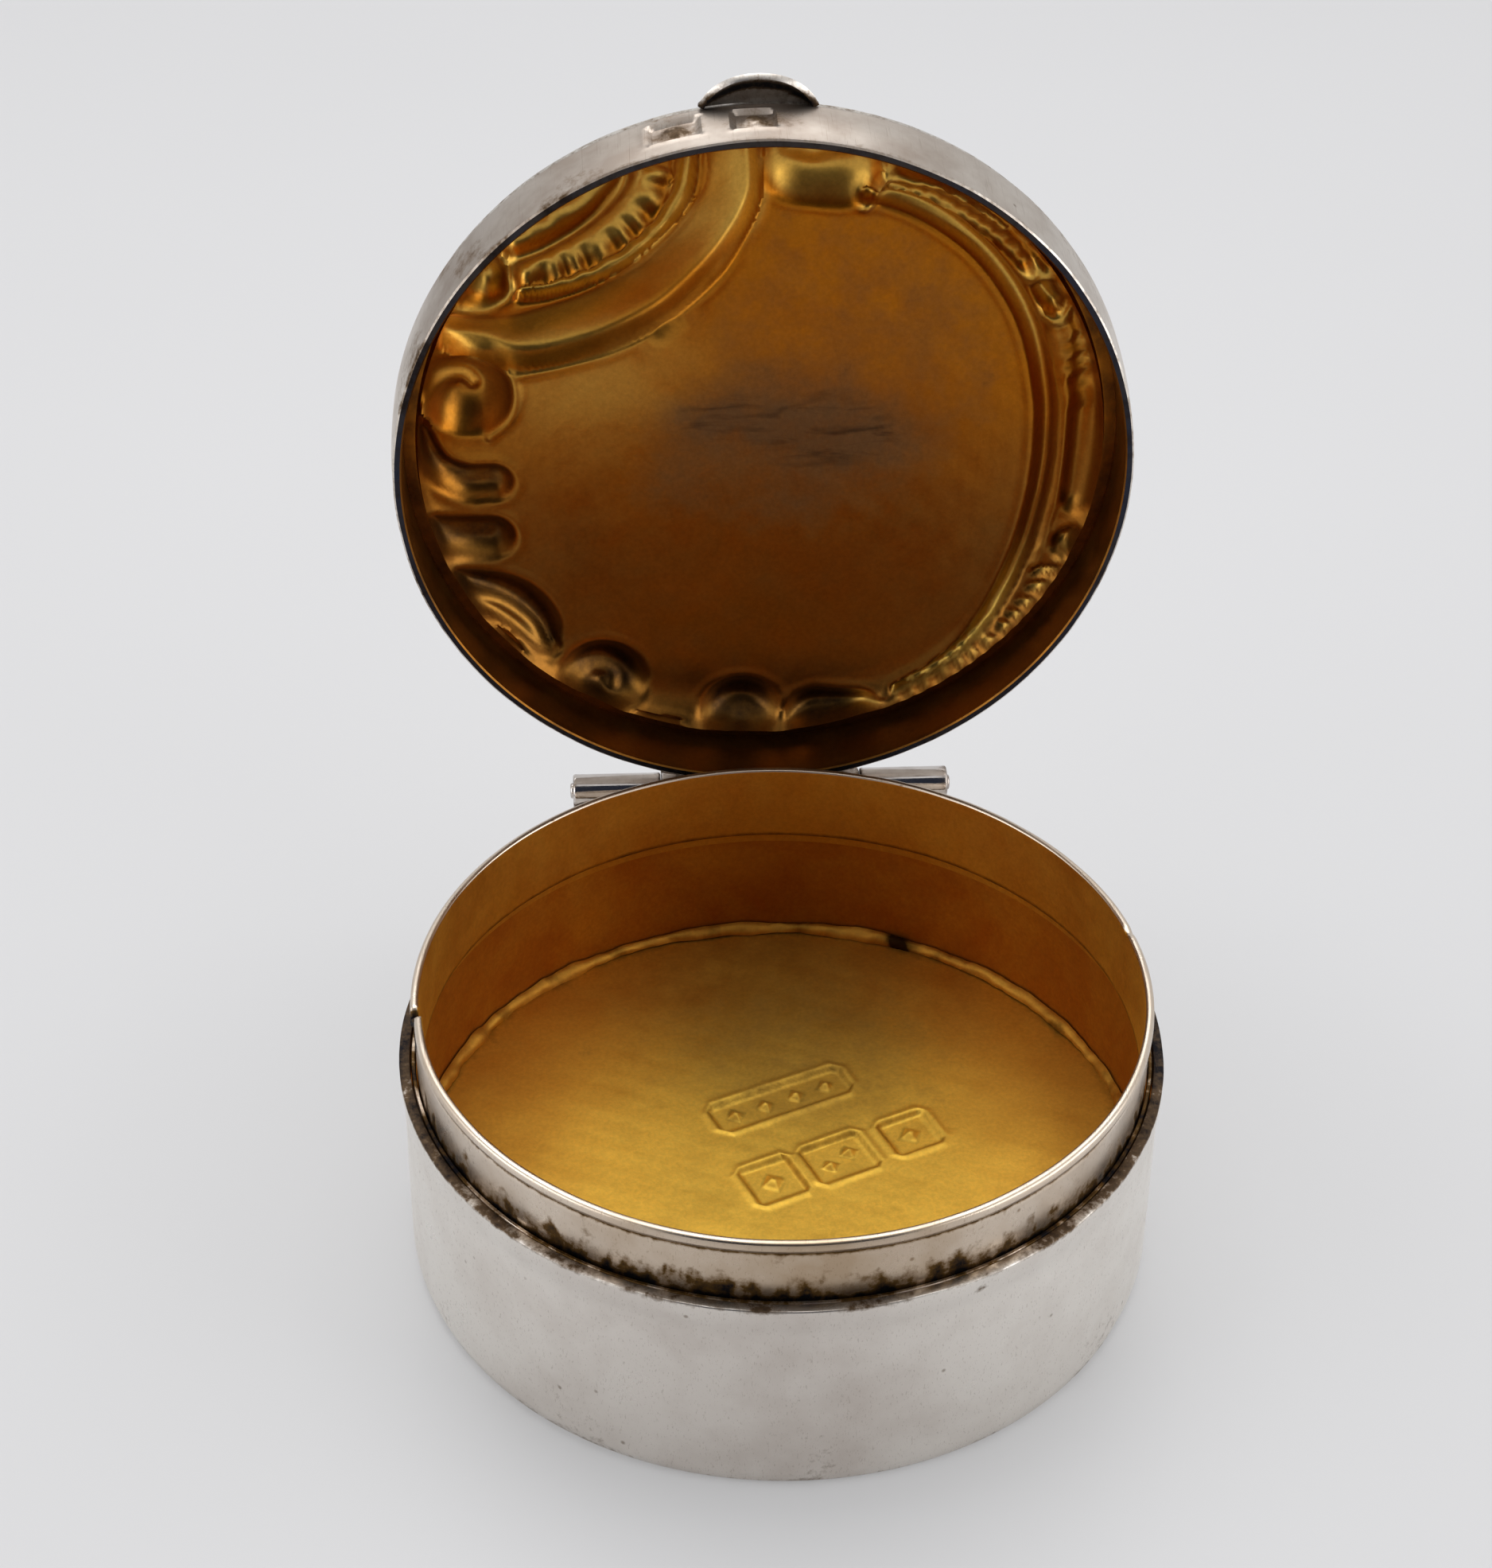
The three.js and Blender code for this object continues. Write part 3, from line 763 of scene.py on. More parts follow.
# The lid's scrollwork, seen from inside: across to the right and up, in millimetres from the
# lid's centre. Generic rococo scrolls, shells and leaves.
SCROLLWORK: tuple[Stroke, ...] = (
    # the border's double line round the plain field
    hollow(0.6, (4.9, 13.2, 0.35), (6.7, 12.75, 0.5), (8.5, 11.8, 0.55), (10.3, 10.3, 0.55),
           (11.7, 8.5, 0.55), (12.7, 6.7, 0.55), (13.4, 4.6, 0.55), (13.9, 2.0, 0.55), (14.0, 0.0, 0.55),
           (13.95, -2.0, 0.55), (13.6, -4.6, 0.55), (13.0, -7.1, 0.55), (12.0, -9.8, 0.55),
           (10.7, -12.1, 0.55), (9.1, -13.7, 0.5), (7.2, -14.9, 0.4), lean=0.3),
    ridge(0.16, (8.9, 12.8, 0.24), (11.1, 11.1, 0.26), (12.6, 9.1, 0.28), (13.6, 7.1, 0.28),
          (14.4, 4.8, 0.28), (14.85, 2.0, 0.28), (14.95, 0.0, 0.28), (14.85, -2.2, 0.28),
          (14.5, -4.8, 0.28), (13.9, -7.4, 0.28)),
    # the long band outside it, right
    hollow(0.5, (15.3, 7.4, 0.7), (15.9, 5.0, 0.95), (16.1, 2.0, 1.0), (16.0, -1.0, 0.95),
           (15.8, -3.6, 0.8)),
    flutes(0.2, 1.15, (14.2, 8.0, 0.7), (14.7, 6.3, 0.9), (15.3, 4.4, 0.9), (15.6, 2.2, 0.9)),
    # leaves that follow the rim, upper right
    hollow(0.5, (5.9, 13.6, 0.35), (7.8, 13.1, 0.5), (9.6, 12.1, 0.5), (11.3, 10.8, 0.45),
           (12.6, 9.3, 0.35)),
    hollow(0.45, (6.6, 14.6, 0.4), (8.6, 13.9, 0.5), (10.6, 12.6, 0.5), (12.3, 11.0, 0.5),
           (13.6, 9.4, 0.4)),
    ridge(0.3, (5.6, 14.2, 0.35), (7.4, 13.7, 0.3), (9.4, 12.8, 0.25), (11.3, 11.3, 0.22)),
    flutes(0.16, 0.8, (7.0, 13.6, 0.5), (9.2, 12.7, 0.7), (11.2, 11.2, 0.7), (12.8, 9.4, 0.6)),
    hollow(0.6, (13.3, 8.2, 0.55), (13.9, 7.3, 0.45)),
    ridge(0.45, (12.8, 9.2, 0.5), (13.3, 8.8, 0.45)),
    ridge(0.35, (13.5, 7.0, 0.4), (14.3, 6.4, 0.35)),
    # the scrolled leaf and the fluted crescent, lower right
    hollow(0.75, (15.6, -6.2, 0.95), (15.9, -6.6, 0.9)),
    hollow(0.55, (15.9, -7.4, 0.7), (15.6, -9.2, 0.85), (14.6, -11.2, 0.9), (13.8, -12.2, 0.7)),
    hollow(0.35, (14.6, -7.4, 0.9), (14.4, -9.2, 1.1), (13.4, -10.9, 1.3), (12.1, -12.5, 1.4),
           (10.6, -14.0, 1.5), (8.9, -15.3, 1.4), (7.2, -16.2, 1.0)),
    flutes(0.42, 1.05, (14.7, -7.4, 1.0), (14.5, -9.2, 1.2), (13.5, -11.0, 1.4), (12.2, -12.6, 1.55),
           (10.7, -14.1, 1.6), (9.0, -15.4, 1.5), (7.3, -16.3, 1.1)),
    # the round volute at the top
    hollow(0.95, (1.9, 14.9, 2.1), (3.5, 14.7, 2.1)),
    ridge(0.3, (1.2, 15.4, 0.5), (2.4, 15.0, 0.45), (3.6, 15.4, 0.4)),
    ridge(0.32, (4.75, 12.6, 0.28), (5.35, 13.3, 0.3), (5.6, 14.2, 0.3), (5.45, 15.3, 0.28)),
    # the great C scroll, upper left
    hollow(1.05, (-1.45, 16.2, 1.25), (-1.35, 14.3, 1.35), (-1.6, 13.0, 1.45), (-2.3, 11.7, 1.65),
           (-3.2, 10.4, 1.8), (-4.5, 9.1, 1.9), (-5.9, 7.9, 1.9), (-7.7, 6.85, 1.8), (-9.5, 6.2, 1.7),
           (-11.3, 5.8, 1.55), (-13.4, 5.9, 1.2), (-15.6, 6.4, 0.8), lean=0.45),
    ridge(0.2, (-0.45, 15.5, 0.25), (-0.3, 14.0, 0.28), (-0.15, 12.9, 0.34), (-0.65, 11.6, 0.34),
          (-1.5, 10.4, 0.34), (-2.7, 8.9, 0.34), (-4.1, 7.4, 0.34), (-5.6, 6.3, 0.34), (-7.5, 5.35, 0.32),
          (-9.5, 4.6, 0.3), (-11.5, 4.05, 0.28)),
    # the shell inside it
    hollow(0.75, (-3.5, 16.0, 0.5), (-3.6, 14.4, 0.55), (-3.9, 13.1, 0.6), (-4.8, 11.7, 0.55),
           (-6.2, 10.3, 0.55), (-8.0, 9.2, 0.5), (-10.0, 8.5, 0.45), (-11.5, 8.3, 0.35)),
    hollow(0.5, (-5.3, 15.0, 1.0), (-5.5, 13.5, 1.1), (-6.5, 12.1, 1.25), (-7.9, 10.9, 1.2),
           (-9.7, 9.9, 1.0), (-11.2, 9.3, 0.7)),
    flutes(0.3, 1.25, (-4.9, 14.8, 0.75), (-4.9, 13.3, 0.85), (-5.9, 11.7, 0.9), (-7.4, 10.4, 0.85),
           (-9.4, 9.4, 0.8), (-11.0, 9.0, 0.6)),
    ridge(0.28, (-6.1, 15.0, 0.3), (-6.9, 13.2, 0.3), (-8.4, 11.8, 0.3), (-10.1, 10.8, 0.3),
          (-11.9, 10.2, 0.3)),
    hollow(0.6, (-7.4, 14.6, 0.8), (-8.7, 13.2, 0.95), (-10.2, 12.1, 0.9), (-11.8, 11.1, 0.7)),
    flutes(0.14, 1.6, (-7.9, 14.4, 0.8), (-9.2, 13.0, 0.8), (-10.8, 12.0, 0.8), (-12.2, 11.0, 0.6)),
    hollow(0.95, (-13.2, 9.2, 1.05), (-13.3, 9.3, 1.05)),
    ridge(0.32, (-12.1, 10.3, 0.28), (-11.75, 9.3, 0.32), (-12.0, 8.35, 0.32), (-13.0, 7.65, 0.3),
          (-14.4, 7.5, 0.26)),
    # the comma volute on the left
    hollow(1.15, (-14.3, 3.0, 2.15), (-14.2, 2.9, 2.15)),
    ridge(0.45, (-16.3, 1.2, 0.45), (-16.1, 2.5, 0.5), (-15.4, 3.45, 0.5), (-14.5, 3.6, 0.42),
          (-14.0, 3.1, 0.3)),
    ridge(0.2, (-15.0, 5.5, 0.28), (-13.3, 5.3, 0.3), (-12.15, 4.3, 0.3), (-11.85, 3.0, 0.3),
          (-12.2, 1.6, 0.28), (-13.2, 0.6, 0.25)),
    # two round-ended lobes below it
    hollow(0.85, (-16.5, 1.4, 0.5), (-16.3, 0.0, 0.65), (-15.7, -1.2, 0.85), (-14.5, -1.95, 1.05),
           (-13.15, -2.0, 1.05)),
    ridge(0.18, (-15.2, -2.0, 0.4), (-13.0, -2.0, 0.4)),
    hollow(0.85, (-17.2, -5.1, 1.25), (-13.35, -5.15, 1.25)),
    ridge(0.16, (-16.0, -5.1, 0.5), (-13.6, -5.1, 0.45)),
    # the two-lobed leaf
    hollow(0.85, (-16.4, -8.4, 1.0), (-14.3, -8.3, 1.3), (-12.5, -9.0, 1.5), (-11.3, -10.3, 1.3),
           (-10.75, -11.7, 0.7)),
    ridge(0.4, (-15.6, -8.6, 0.3), (-13.4, -9.1, 0.34), (-11.8, -10.4, 0.34), (-10.9, -12.0, 0.3)),
    hollow(0.75, (-15.8, -10.4, 0.6), (-14.0, -10.9, 0.8), (-12.7, -12.1, 0.8), (-11.7, -13.9, 0.45)),
    ridge(0.4, (-14.9, -11.6, 0.3), (-13.1, -12.3, 0.32), (-11.9, -13.4, 0.3), (-11.2, -14.4, 0.26)),
    # the row of comma volutes along the bottom
    hollow(1.2, (-8.0, -13.7, 2.3), (-7.9, -13.8, 2.3)),
    ridge(0.4, (-9.6, -15.2, 0.5), (-9.2, -14.2, 0.6), (-8.4, -13.7, 0.6), (-7.6, -14.0, 0.5),
          (-7.5, -14.6, 0.4)),
    ridge(0.4, (-10.3, -15.0, 0.3), (-9.0, -16.1, 0.34), (-7.5, -16.7, 0.34), (-6.2, -17.1, 0.3)),
    hollow(0.5, (-6.4, -16.3, 0.45), (-4.2, -16.9, 0.5)),
    ridge(0.45, (-6.0, -17.2, 0.3), (-5.0, -17.3, 0.4), (-4.2, -17.5, 0.3)),
    hollow(1.2, (-0.95, -16.0, 2.15), (-0.85, -16.0, 2.15)),
    ridge(0.35, (-1.6, -17.2, 0.5), (-1.0, -16.6, 0.6), (-0.3, -16.9, 0.5)),
    hollow(1.1, (3.1, -16.5, 1.9), (4.9, -16.6, 1.8)),
    ridge(0.35, (2.6, -17.2, 0.45), (3.6, -16.9, 0.5), (4.8, -17.1, 0.45)),
)


# --------------------------------------------------------------------------- the lid


# The lid sheet's round corner: its rise, the radius where it starts and its width. It drops to what
# is left of it over a narrow ring, so that the liner can pass between it and the band.
CORNER_RISE, CORNER_START, CORNER_WIDTH = 1.3, 14.5, 2.3
CORNER_RING, CORNER_LEFT = (16.72, 16.82), 0.35
# The radii over which the chasing fades out.
CHASING_END = (16.55, 16.8)
# The plain marks on the lid's side: angle from the top and width, in degrees; and where they lie.
SIDE_MARKS = ((-13.7, 4.4), (-1.9, 3.6))
MARK_Y = 19.95


@dataclass
class Lid:
    """The lid, standing open: a chased plate in a plain band, with a lip to lift it by.

    Attributes:
        finishes: The materials.
        centre_z: Height of the lid's own axis above the table.
        field_y: The plain field's inner skin, along the lid's axis.
        sheet: Thickness of the chased sheet.
        rim_y: The band's free edge.
        shoulder_y: Where the band meets the plate.
        inner: Inner radius of the band.
        outer: Outer radius at the free edge.
        shoulder: Outer radius at the plate.
    """

    finishes: Finishes
    centre_z: float = 30.85
    field_y: float = 21.7
    sheet: float = 0.4
    rim_y: float = 17.9
    shoulder_y: float = 21.65
    inner: float = 17.42
    outer: float = 17.8
    shoulder: float = 17.95

    @property
    def axis_point(self) -> Point:
        """A point on the lid's own axis."""
        return (0.0, 0.0, self.centre_z)

    def spots(self, points: Array) -> Array:
        """Places on the lid, across and up from its middle."""
        return points[:, [0, 2]] - (0.0, self.centre_z)

    def plate(self) -> bpy.types.Object:
        """Chases the plate.

        Returns:
            The plate, gilt inside and silver outside.
        """
        radii = [*np.linspace(0.0, 8.0, 9), *np.linspace(8.0, 17.9, 86)[1:]]
        piece = turned("lid_plate_chased", [(r, self.field_y) for r in radii], 480, closed=False,
                       centre=self.axis_point, upright=False)
        face_along(piece, 1)
        spots = self.spots(points_of(piece))
        radius = np.hypot(*spots.T)
        # the sheet turns up towards the band in a round corner and the chasing runs on over it,
        # as far as the liner's edge, which has to pass between the two when the lid is shut
        climb = np.clip((radius - CORNER_START) / CORNER_WIDTH, 0.0, 0.999)
        corner = CORNER_RISE * (1.0 - np.sqrt(1.0 - climb**2))
        corner += (CORNER_LEFT - corner) * ease(*CORNER_RING, radius)
        laid = spots + corner[:, None] * (0.056, -0.73)
        depth = np.zeros(len(spots))
        for stroke in SCROLLWORK:
            depth = stroke.strike(laid, depth)
        inside = 1.0 - ease(*CHASING_END, radius)
        full = np.column_stack([spots, np.zeros(len(spots))])
        waves = 0.05 * ripple(full, 14.0, 3) * (1.0 - radius / 18.0)
        depth = depth * inside + waves + 0.015 * ripple(full, 3.0, 5)

        def sink(points: Array) -> Array:
            """Pushes the inner skin away from the eye."""
            points[:, 1] += depth
            return points

        shape(piece, sink)
        inner_y = points_of(piece)[:, 1]
        apply_modifier(piece, "SOLIDIFY", thickness=self.sheet * MM, offset=1.0)

        def turn_corner(points: Array) -> Array:
            """Rounds the inner skin up to the band."""
            count = len(inner_y)
            halves = (points[:count], points[count : 2 * count])
            inner = min(halves, key=lambda half: float(np.abs(half[:, 1] - inner_y).mean()))
            inner[:, 1] -= corner
            return points

        shape(piece, turn_corner)

        def round_edge(points: Array) -> Array:
            """Rounds the outer skin down to the band."""
            out = np.hypot(*self.spots(points).T)
            skin = ease(21.8, 22.0, points[:, 1])
            points[:, 1] -= 0.28 * skin * unit((out - 17.2) / 0.7) ** 2
            return points

        shape(piece, round_edge)
        self.age_plate(piece)
        chased = ease(0.06, 0.4, np.abs(depth)) * ease(9.0, 12.0, radius)
        # yellower towards the top and at the lower right: painted highlights on the chasing, over its
        # thicker gilding
        yellow_and_highlight = 0.04 + 0.42 * ease(2.0, 8.0, spots[:, 1])
        yellow_and_highlight += 0.4 * ease(3.0, 8.0, spots[:, 0]) * ease(-5.0, -9.0, spots[:, 1])
        rubbed = 0.3 * bump(np.hypot(spots[:, 0] + 8.0, (spots[:, 1] - 3.5) * 1.4), 5.0)
        paint(piece, "thick_gilt_and_highlight", np.tile(chased * yellow_and_highlight + rubbed, 2))
        count = len(spots)
        seen = points_of(piece)[:, 1]
        inner_first = seen[:count].mean() < seen[count : 2 * count].mean()
        low_left = ease(5.0, -1.0, spots[:, 1]) * ease(7.0, 4.0, spots[:, 0])
        # the deep hollows at the lower left and the corner by the band are darkened: painted shade
        inner_painted_shade = 0.6 * ease(0.2, 0.8, depth) * low_left + 0.5 * ease(16.6, 17.0, radius)
        outer_soot = 0.3 * ease(10.5, 12.5, radius) * ease(0.12, -0.05, depth)
        outer_soot += 0.1 * ease(16.9, 17.6, radius)
        both = (inner_painted_shade, outer_soot) if inner_first else (outer_soot, inner_painted_shade)
        paint(piece, "grime_and_shade", np.concatenate(both))

        def finish(centres: Array, normals: Array) -> Array:
            """Gilt on the skin inside the band."""
            out = np.hypot(*self.spots(centres).T)
            return np.where((normals[:, 1] < -0.01) & (out < self.inner + 0.05), 0, 1)

        dress(piece, [self.finishes.lid_gilt, self.finishes.silver], finish)
        return settle(piece, Body.LID, ["lid_plate"], smooth=60.0)

    def age_plate(self, piece: bpy.types.Object) -> None:
        """Paints where the gilding has darkened, a darker reflection over the lower part, and where
        sulphide has bloomed.
        """
        points = points_of(piece)
        u, v = self.spots(points).T
        sunk = points[:, 1] - self.field_y
        # darker towards the bottom of the open lid: a painted reflection of the dark inside of the box,
        # over darkened gilding
        patina_and_shade = 0.25 + 0.55 * ease(5.0, -8.0, v) - 0.1 * ease(0.1, 0.8, sunk)
        cloud = ease(1.1, 0.55, np.hypot((u - 0.8) / 8.5, (v + 0.6) / 5.4))
        streak = bump(v - 0.9 + 0.12 * u, 0.9) * ease(9.0, 3.0, np.abs(u - 1.2))
        bloom = 0.62 * cloud * (0.85 + 0.2 * ripple(points, 6.0, 11)) + 0.35 * streak
        bloom += 0.25 * ease(10.0, 4.0, np.hypot(u - 4.5, v - 4.5))
        paint(piece, "patina_and_shade", unit(patina_and_shade))
        paint(piece, "bloom", unit(bloom))

    def band(self) -> bpy.types.Object:
        """Turns the band and strikes two small plain marks beside the lip.

        Returns:
            The band, silver outside and gilt inside.
        """
        soft = 0.07
        outline = [
            *line((self.inner, self.shoulder_y), (self.inner, self.rim_y + soft), 10),
            (self.inner + soft, self.rim_y),
            *line((self.outer - 0.08, self.rim_y), (self.outer, self.rim_y + 0.08), 3),
            *line((self.outer, self.rim_y + 0.2), (self.shoulder, self.shoulder_y - 0.35), 26),
            *arc((self.shoulder - 0.3, self.shoulder_y - 0.3), 0.3, 0.0, 80.0, 5),
        ]
        piece = turned("lid_band_turned", outline, 720, centre=self.axis_point, upright=False)

        def work(points: Array) -> Array:
            """Swells the band a little out of true and strikes the marks."""
            out = self.spots(points)
            radius, angle = polar(out[:, ::-1])
            face = ease(17.55, 17.75, radius)
            middle = bump(points[:, 1] - 19.9, 1.6)
            grow = 0.08 * middle * face + 0.03 * face * ripple(points, 9.0, 21)
            for place, span in SIDE_MARKS:
                across, deep = turn_gap(angle, place) / span * 1.15, (points[:, 1] - MARK_Y) / 0.85
                inside = ease(1.08, 0.86, np.maximum(np.abs(across), np.abs(deep)))
                boss = ease(0.62, 0.3, np.hypot(across, deep * 0.9))
                grow -= face * (0.2 * inside - 0.17 * boss)
                edge = bump(np.maximum(np.abs(across), np.abs(deep)) - 1.15, 0.12)
                grow += 0.03 * face * edge
            points[:, [0, 2]] += outward(out, grow)
            return points

        shape(piece, work)
        points = points_of(piece)
        angle = polar(self.spots(points)[:, ::-1])[1]
        marks = sum(bump(turn_gap(angle, place), 4.2) for place, _ in SIDE_MARKS)
        grime_and_shade = 0.5 * marks * bump(points[:, 1] - MARK_Y, 0.9)
        grime_and_shade += 0.35 * bump(points[:, 1] - self.shoulder_y, 0.25) + 0.25 * bump(points[:, 1] - 18.0, 0.2)
        # stains heavier on the left: real stains, made heavier as painted shade on the side away from the
        # light
        shaded_left = 0.6 + 0.6 * bump(turn_gap(angle, -60.0), 40.0)
        grime_and_shade += 0.3 * ease(0.0, 0.9, ripple(points, 5.0, 8)) * shaded_left
        paint(piece, "grime_and_shade", unit(grime_and_shade))
        paint(piece, "patina_and_shade", 0.75)
        # haze over the top and upper left of the band: a painted darker reflection
        haze_and_dark_reflection = 0.1 + 0.65 * bump(turn_gap(angle, -4.0), 44.0) + 0.4 * bump(turn_gap(angle, -52.0), 16.0)
        paint(piece, "haze_and_dark_reflection", unit(haze_and_dark_reflection))

        def finish(centres: Array, normals: Array) -> Array:
            """Gilt inside, a painted dark reflection on the end face, silver outside."""
            out = self.spots(centres)
            facing = (out * normals[:, [0, 2]]).sum(1) / np.hypot(*out.T)
            return np.where(normals[:, 1] < -0.85, 2, np.where(facing < -0.3, 1, 0))

        dress(piece, [self.finishes.dulled, self.finishes.lid_gilt, self.finishes.oxide], finish)
        return settle(piece, Body.LID, ["lid_band"])

    def lip(self) -> bpy.types.Object:
        """Raises the lip: a small shell-shaped tab, hollow on the side that a nail goes under.

        Returns:
            The lip.
        """
        low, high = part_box("thumbpiece")
        half = (high.x - low.x) / 2 / MM
        crown = 17.9
        root, tip = self.centre_z + crown, high.z / MM - 0.12
        back = high.y / MM
        bpy.ops.object.select_all(action="DESELECT")
        bpy.ops.mesh.primitive_grid_add(x_subdivisions=56, y_subdivisions=20, size=2.0)
        piece = bpy.context.object
        piece.name = "thumbpiece_raised"

        def raise_tab(points: Array) -> Array:
            """Bends the flat grid to the shell shape, across by s and outward by t."""
            points = points * MM
            s, t = points[:, 0], (points[:, 1] + 1.0) / 2.0
            x = half * s
            reach = (tip - root) * np.clip(1.0 - np.abs(s) ** 2.2, 0.02, 1.0) ** 0.6
            z = root + np.sqrt(crown**2 - x**2) - crown + reach * t
            y = back - 0.25 - 0.85 * t**1.7 * (1.0 - 0.3 * s**2)
            return np.column_stack([x - 0.3, y, z])

        shape(piece, raise_tab)
        apply_modifier(piece, "SOLIDIFY", thickness=0.3 * MM, offset=0.0)
        apply_modifier(piece, "BEVEL", width=0.08 * MM, segments=2, limit_method="ANGLE",
                       angle_limit=math.radians(50.0))
        edit(piece)
        bpy.ops.mesh.normals_make_consistent(inside=False)
        leave()
        points = points_of(piece)
        # the tab's free edge falls away to both sides; shade is painted just under it, over a little grime
        # everywhere
        edge = 50.3 - 0.17 * (points[:, 0] + 0.3) ** 2
        shade_under_edge = bump(points[:, 2] - edge + 0.45, 0.3) * (points[:, 2] < edge - 0.06)
        paint(piece, "grime_and_shade", unit(0.85 * shade_under_edge + 0.2))
        paint(piece, "haze_and_dark_reflection", 0.4)
        dress(piece, [self.finishes.silver])
        return settle(piece, Body.LID, ["thumbpiece"], smooth=50.0)

    def build(self) -> None:
        """Builds every piece of the lid."""
        self.plate()
        self.band()
        self.lip()


# --------------------------------------------------------------------------- the box


# Shallow knocks in the wall: angle, height and size.
KNOCKS = ((-64.0, 10.4, 0.5), (-118.0, 8.2, 0.4), (-86.0, 4.6, 0.35), (-40.0, 6.3, 0.5))
# The floor's sunk cartouches: middle, half length, half width, and the bosses in each: place along
# and across it, and size. All of them are turned by one angle, in degrees.
CARTOUCHES = (
    (0.3, 4.0, 3.7, 1.05, ((-2.5, 0.0, 0.5), (-0.85, 0.0, 0.5), (0.85, 0.0, 0.5), (2.5, 0.0, 0.5))),
    (-0.4, -1.8, 1.35, 1.35, ((0.0, 0.0, 0.7),)),
    (2.9, -0.35, 1.65, 1.35, ((-0.6, -0.2, 0.5), (0.65, 0.25, 0.5))),
    (6.5, 1.25, 1.3, 1.25, ((0.0, 0.0, 0.62),)),
)
CARTOUCHE_TURN = 24.0


@dataclass
class Box:
    """The box below: wall, floor, the seat that carries the liner, and the liner itself.

    Attributes:
        finishes: The materials.
        radius: Outer radius of the wall.
        height: Height of the wall's edge.
        wall: Thickness of the wall.
        foot: Radius of the soft turn at the foot.
        floor_top: Height of the floor inside.
        liner_inner: Inner radius of the liner.
        liner_neck: Outer radius of the liner below its bead.
        liner_bead: Outer radius of the bead.
        liner_low: Lower edge of the liner.
        liner_top: Upper edge of the liner.
        seam: Angle of the liner's open seam, in degrees.
    """

    finishes: Finishes
    radius: float = 18.0
    height: float = 11.1
    wall: float = 0.5
    foot: float = 0.85
    floor_top: float = 3.7
    liner_inner: float = 16.9
    liner_neck: float = 17.18
    liner_bead: float = 17.3
    liner_low: float = 10.3
    liner_top: float = 14.4
    seam: float = 184.0

    def shell(self) -> bpy.types.Object:
        """Turns the wall with its soft foot.

        Returns:
            The wall, silver outside and gilt inside.
        """
        inner, soft = self.radius - self.wall, 0.09
        outline = [
            *line((16.5, 0.58), (16.5, 0.06), 3), (16.56, 0.0),
            *arc((self.radius - self.foot, self.foot), self.foot, -90.0, 0.0, 10),
            *line((self.radius, self.foot + 0.3), (self.radius, self.height - 0.3), 24),
            *arc((self.radius - soft, self.height - soft), soft, 0.0, 90.0, 4),
            *arc((inner + soft * 0.5, self.height - soft * 0.5), soft * 0.5, 90.0, 180.0, 3),
            *line((inner, self.height - 0.3), (inner, 1.3), 14),
            *arc((inner - 0.6, 1.18), 0.6, 0.0, -80.0, 5),
        ]
        piece = turned("body_wall_raised", outline, 540)

        def wobble(points: Array) -> Array:
            """Leaves the slight unevenness of hand work, with a few shallow knocks."""
            radius, angle = polar(points[:, :2])
            face = ease(17.7, 17.9, radius)
            grow = 0.03 * ripple(points, 11.0, 31) + 0.01 * ripple(points, 3.0, 32)
            grow -= 0.13 * ease(self.height - 0.5, self.height - 1.6, points[:, 2])
            for place, height, size in KNOCKS:
                gap = np.radians(turn_gap(angle, place)) * self.radius
                grow -= 0.05 * bump(np.hypot(gap, points[:, 2] - height), size)
            points[:, :2] += outward(points[:, :2], face * grow)
            return points

        shape(piece, wobble)
        points = points_of(piece)
        radius, angle = polar(points[:, :2])
        edge = bump(points[:, 2] - self.height, 0.16) * (radius > 17.3)
        sides = np.maximum(bump(turn_gap(angle, 195.0), 34.0), bump(turn_gap(angle, -12.0), 30.0))
        grime_and_shade = edge * (0.35 + 0.45 * sides + 0.2 * ripple(points, 4.0, 41))
        grime_and_shade += 0.3 * bump(points[:, 2], 0.35) * (radius > 16.8)
        outside = radius > 17.6
        grime_and_shade += 0.2 * ease(5.0, 1.0, points[:, 2]) * ease(0.1, 0.9, ripple(points, 8.0, 43)) * outside
        gap = np.radians(turn_gap(angle, KNOCKS[0][0])) * self.radius
        grime_and_shade += 0.7 * bump(gap, 0.5) * bump(points[:, 2] - 10.45 - 0.15 * gap, 0.12) * outside
        paint(piece, "grime_and_shade", unit(grime_and_shade))
        paint(piece, "patina_and_shade", np.where(radius < 17.55, 0.85, 0.0))
        # haze at the front of the wall: a painted darker reflection of what stands in front of the box
        paint(piece, "haze_and_dark_reflection", 0.42 * bump(turn_gap(angle, -98.0), 50.0))

        def finish(centres: Array, normals: Array) -> Array:
            """Gilt on the inner face only."""
            out = np.hypot(*centres[:, :2].T)
            return np.where((out < inner + 0.02) & (centres[:, 2] > 1.2), 1, 0)

        dress(piece, [self.finishes.silver, self.finishes.gilt], finish)
        return settle(piece, Body.BOX, ["body_wall"])

    def floor(self) -> bpy.types.Object:
        """Makes the floor, with four small sunk cartouches that hold plain bosses.

        Returns:
            The gilt floor.
        """
        radii = [*np.linspace(0.0, 8.4, 68), *np.linspace(8.4, 17.4, 30)[1:]]
        piece = turned("floor_plate_struck", [(r, self.floor_top) for r in radii], 480, closed=False)
        face_along(piece, 2)
        tilt = math.radians(CARTOUCHE_TURN)
        way = np.array([[math.cos(tilt), math.sin(tilt)], [-math.sin(tilt), math.cos(tilt)]])

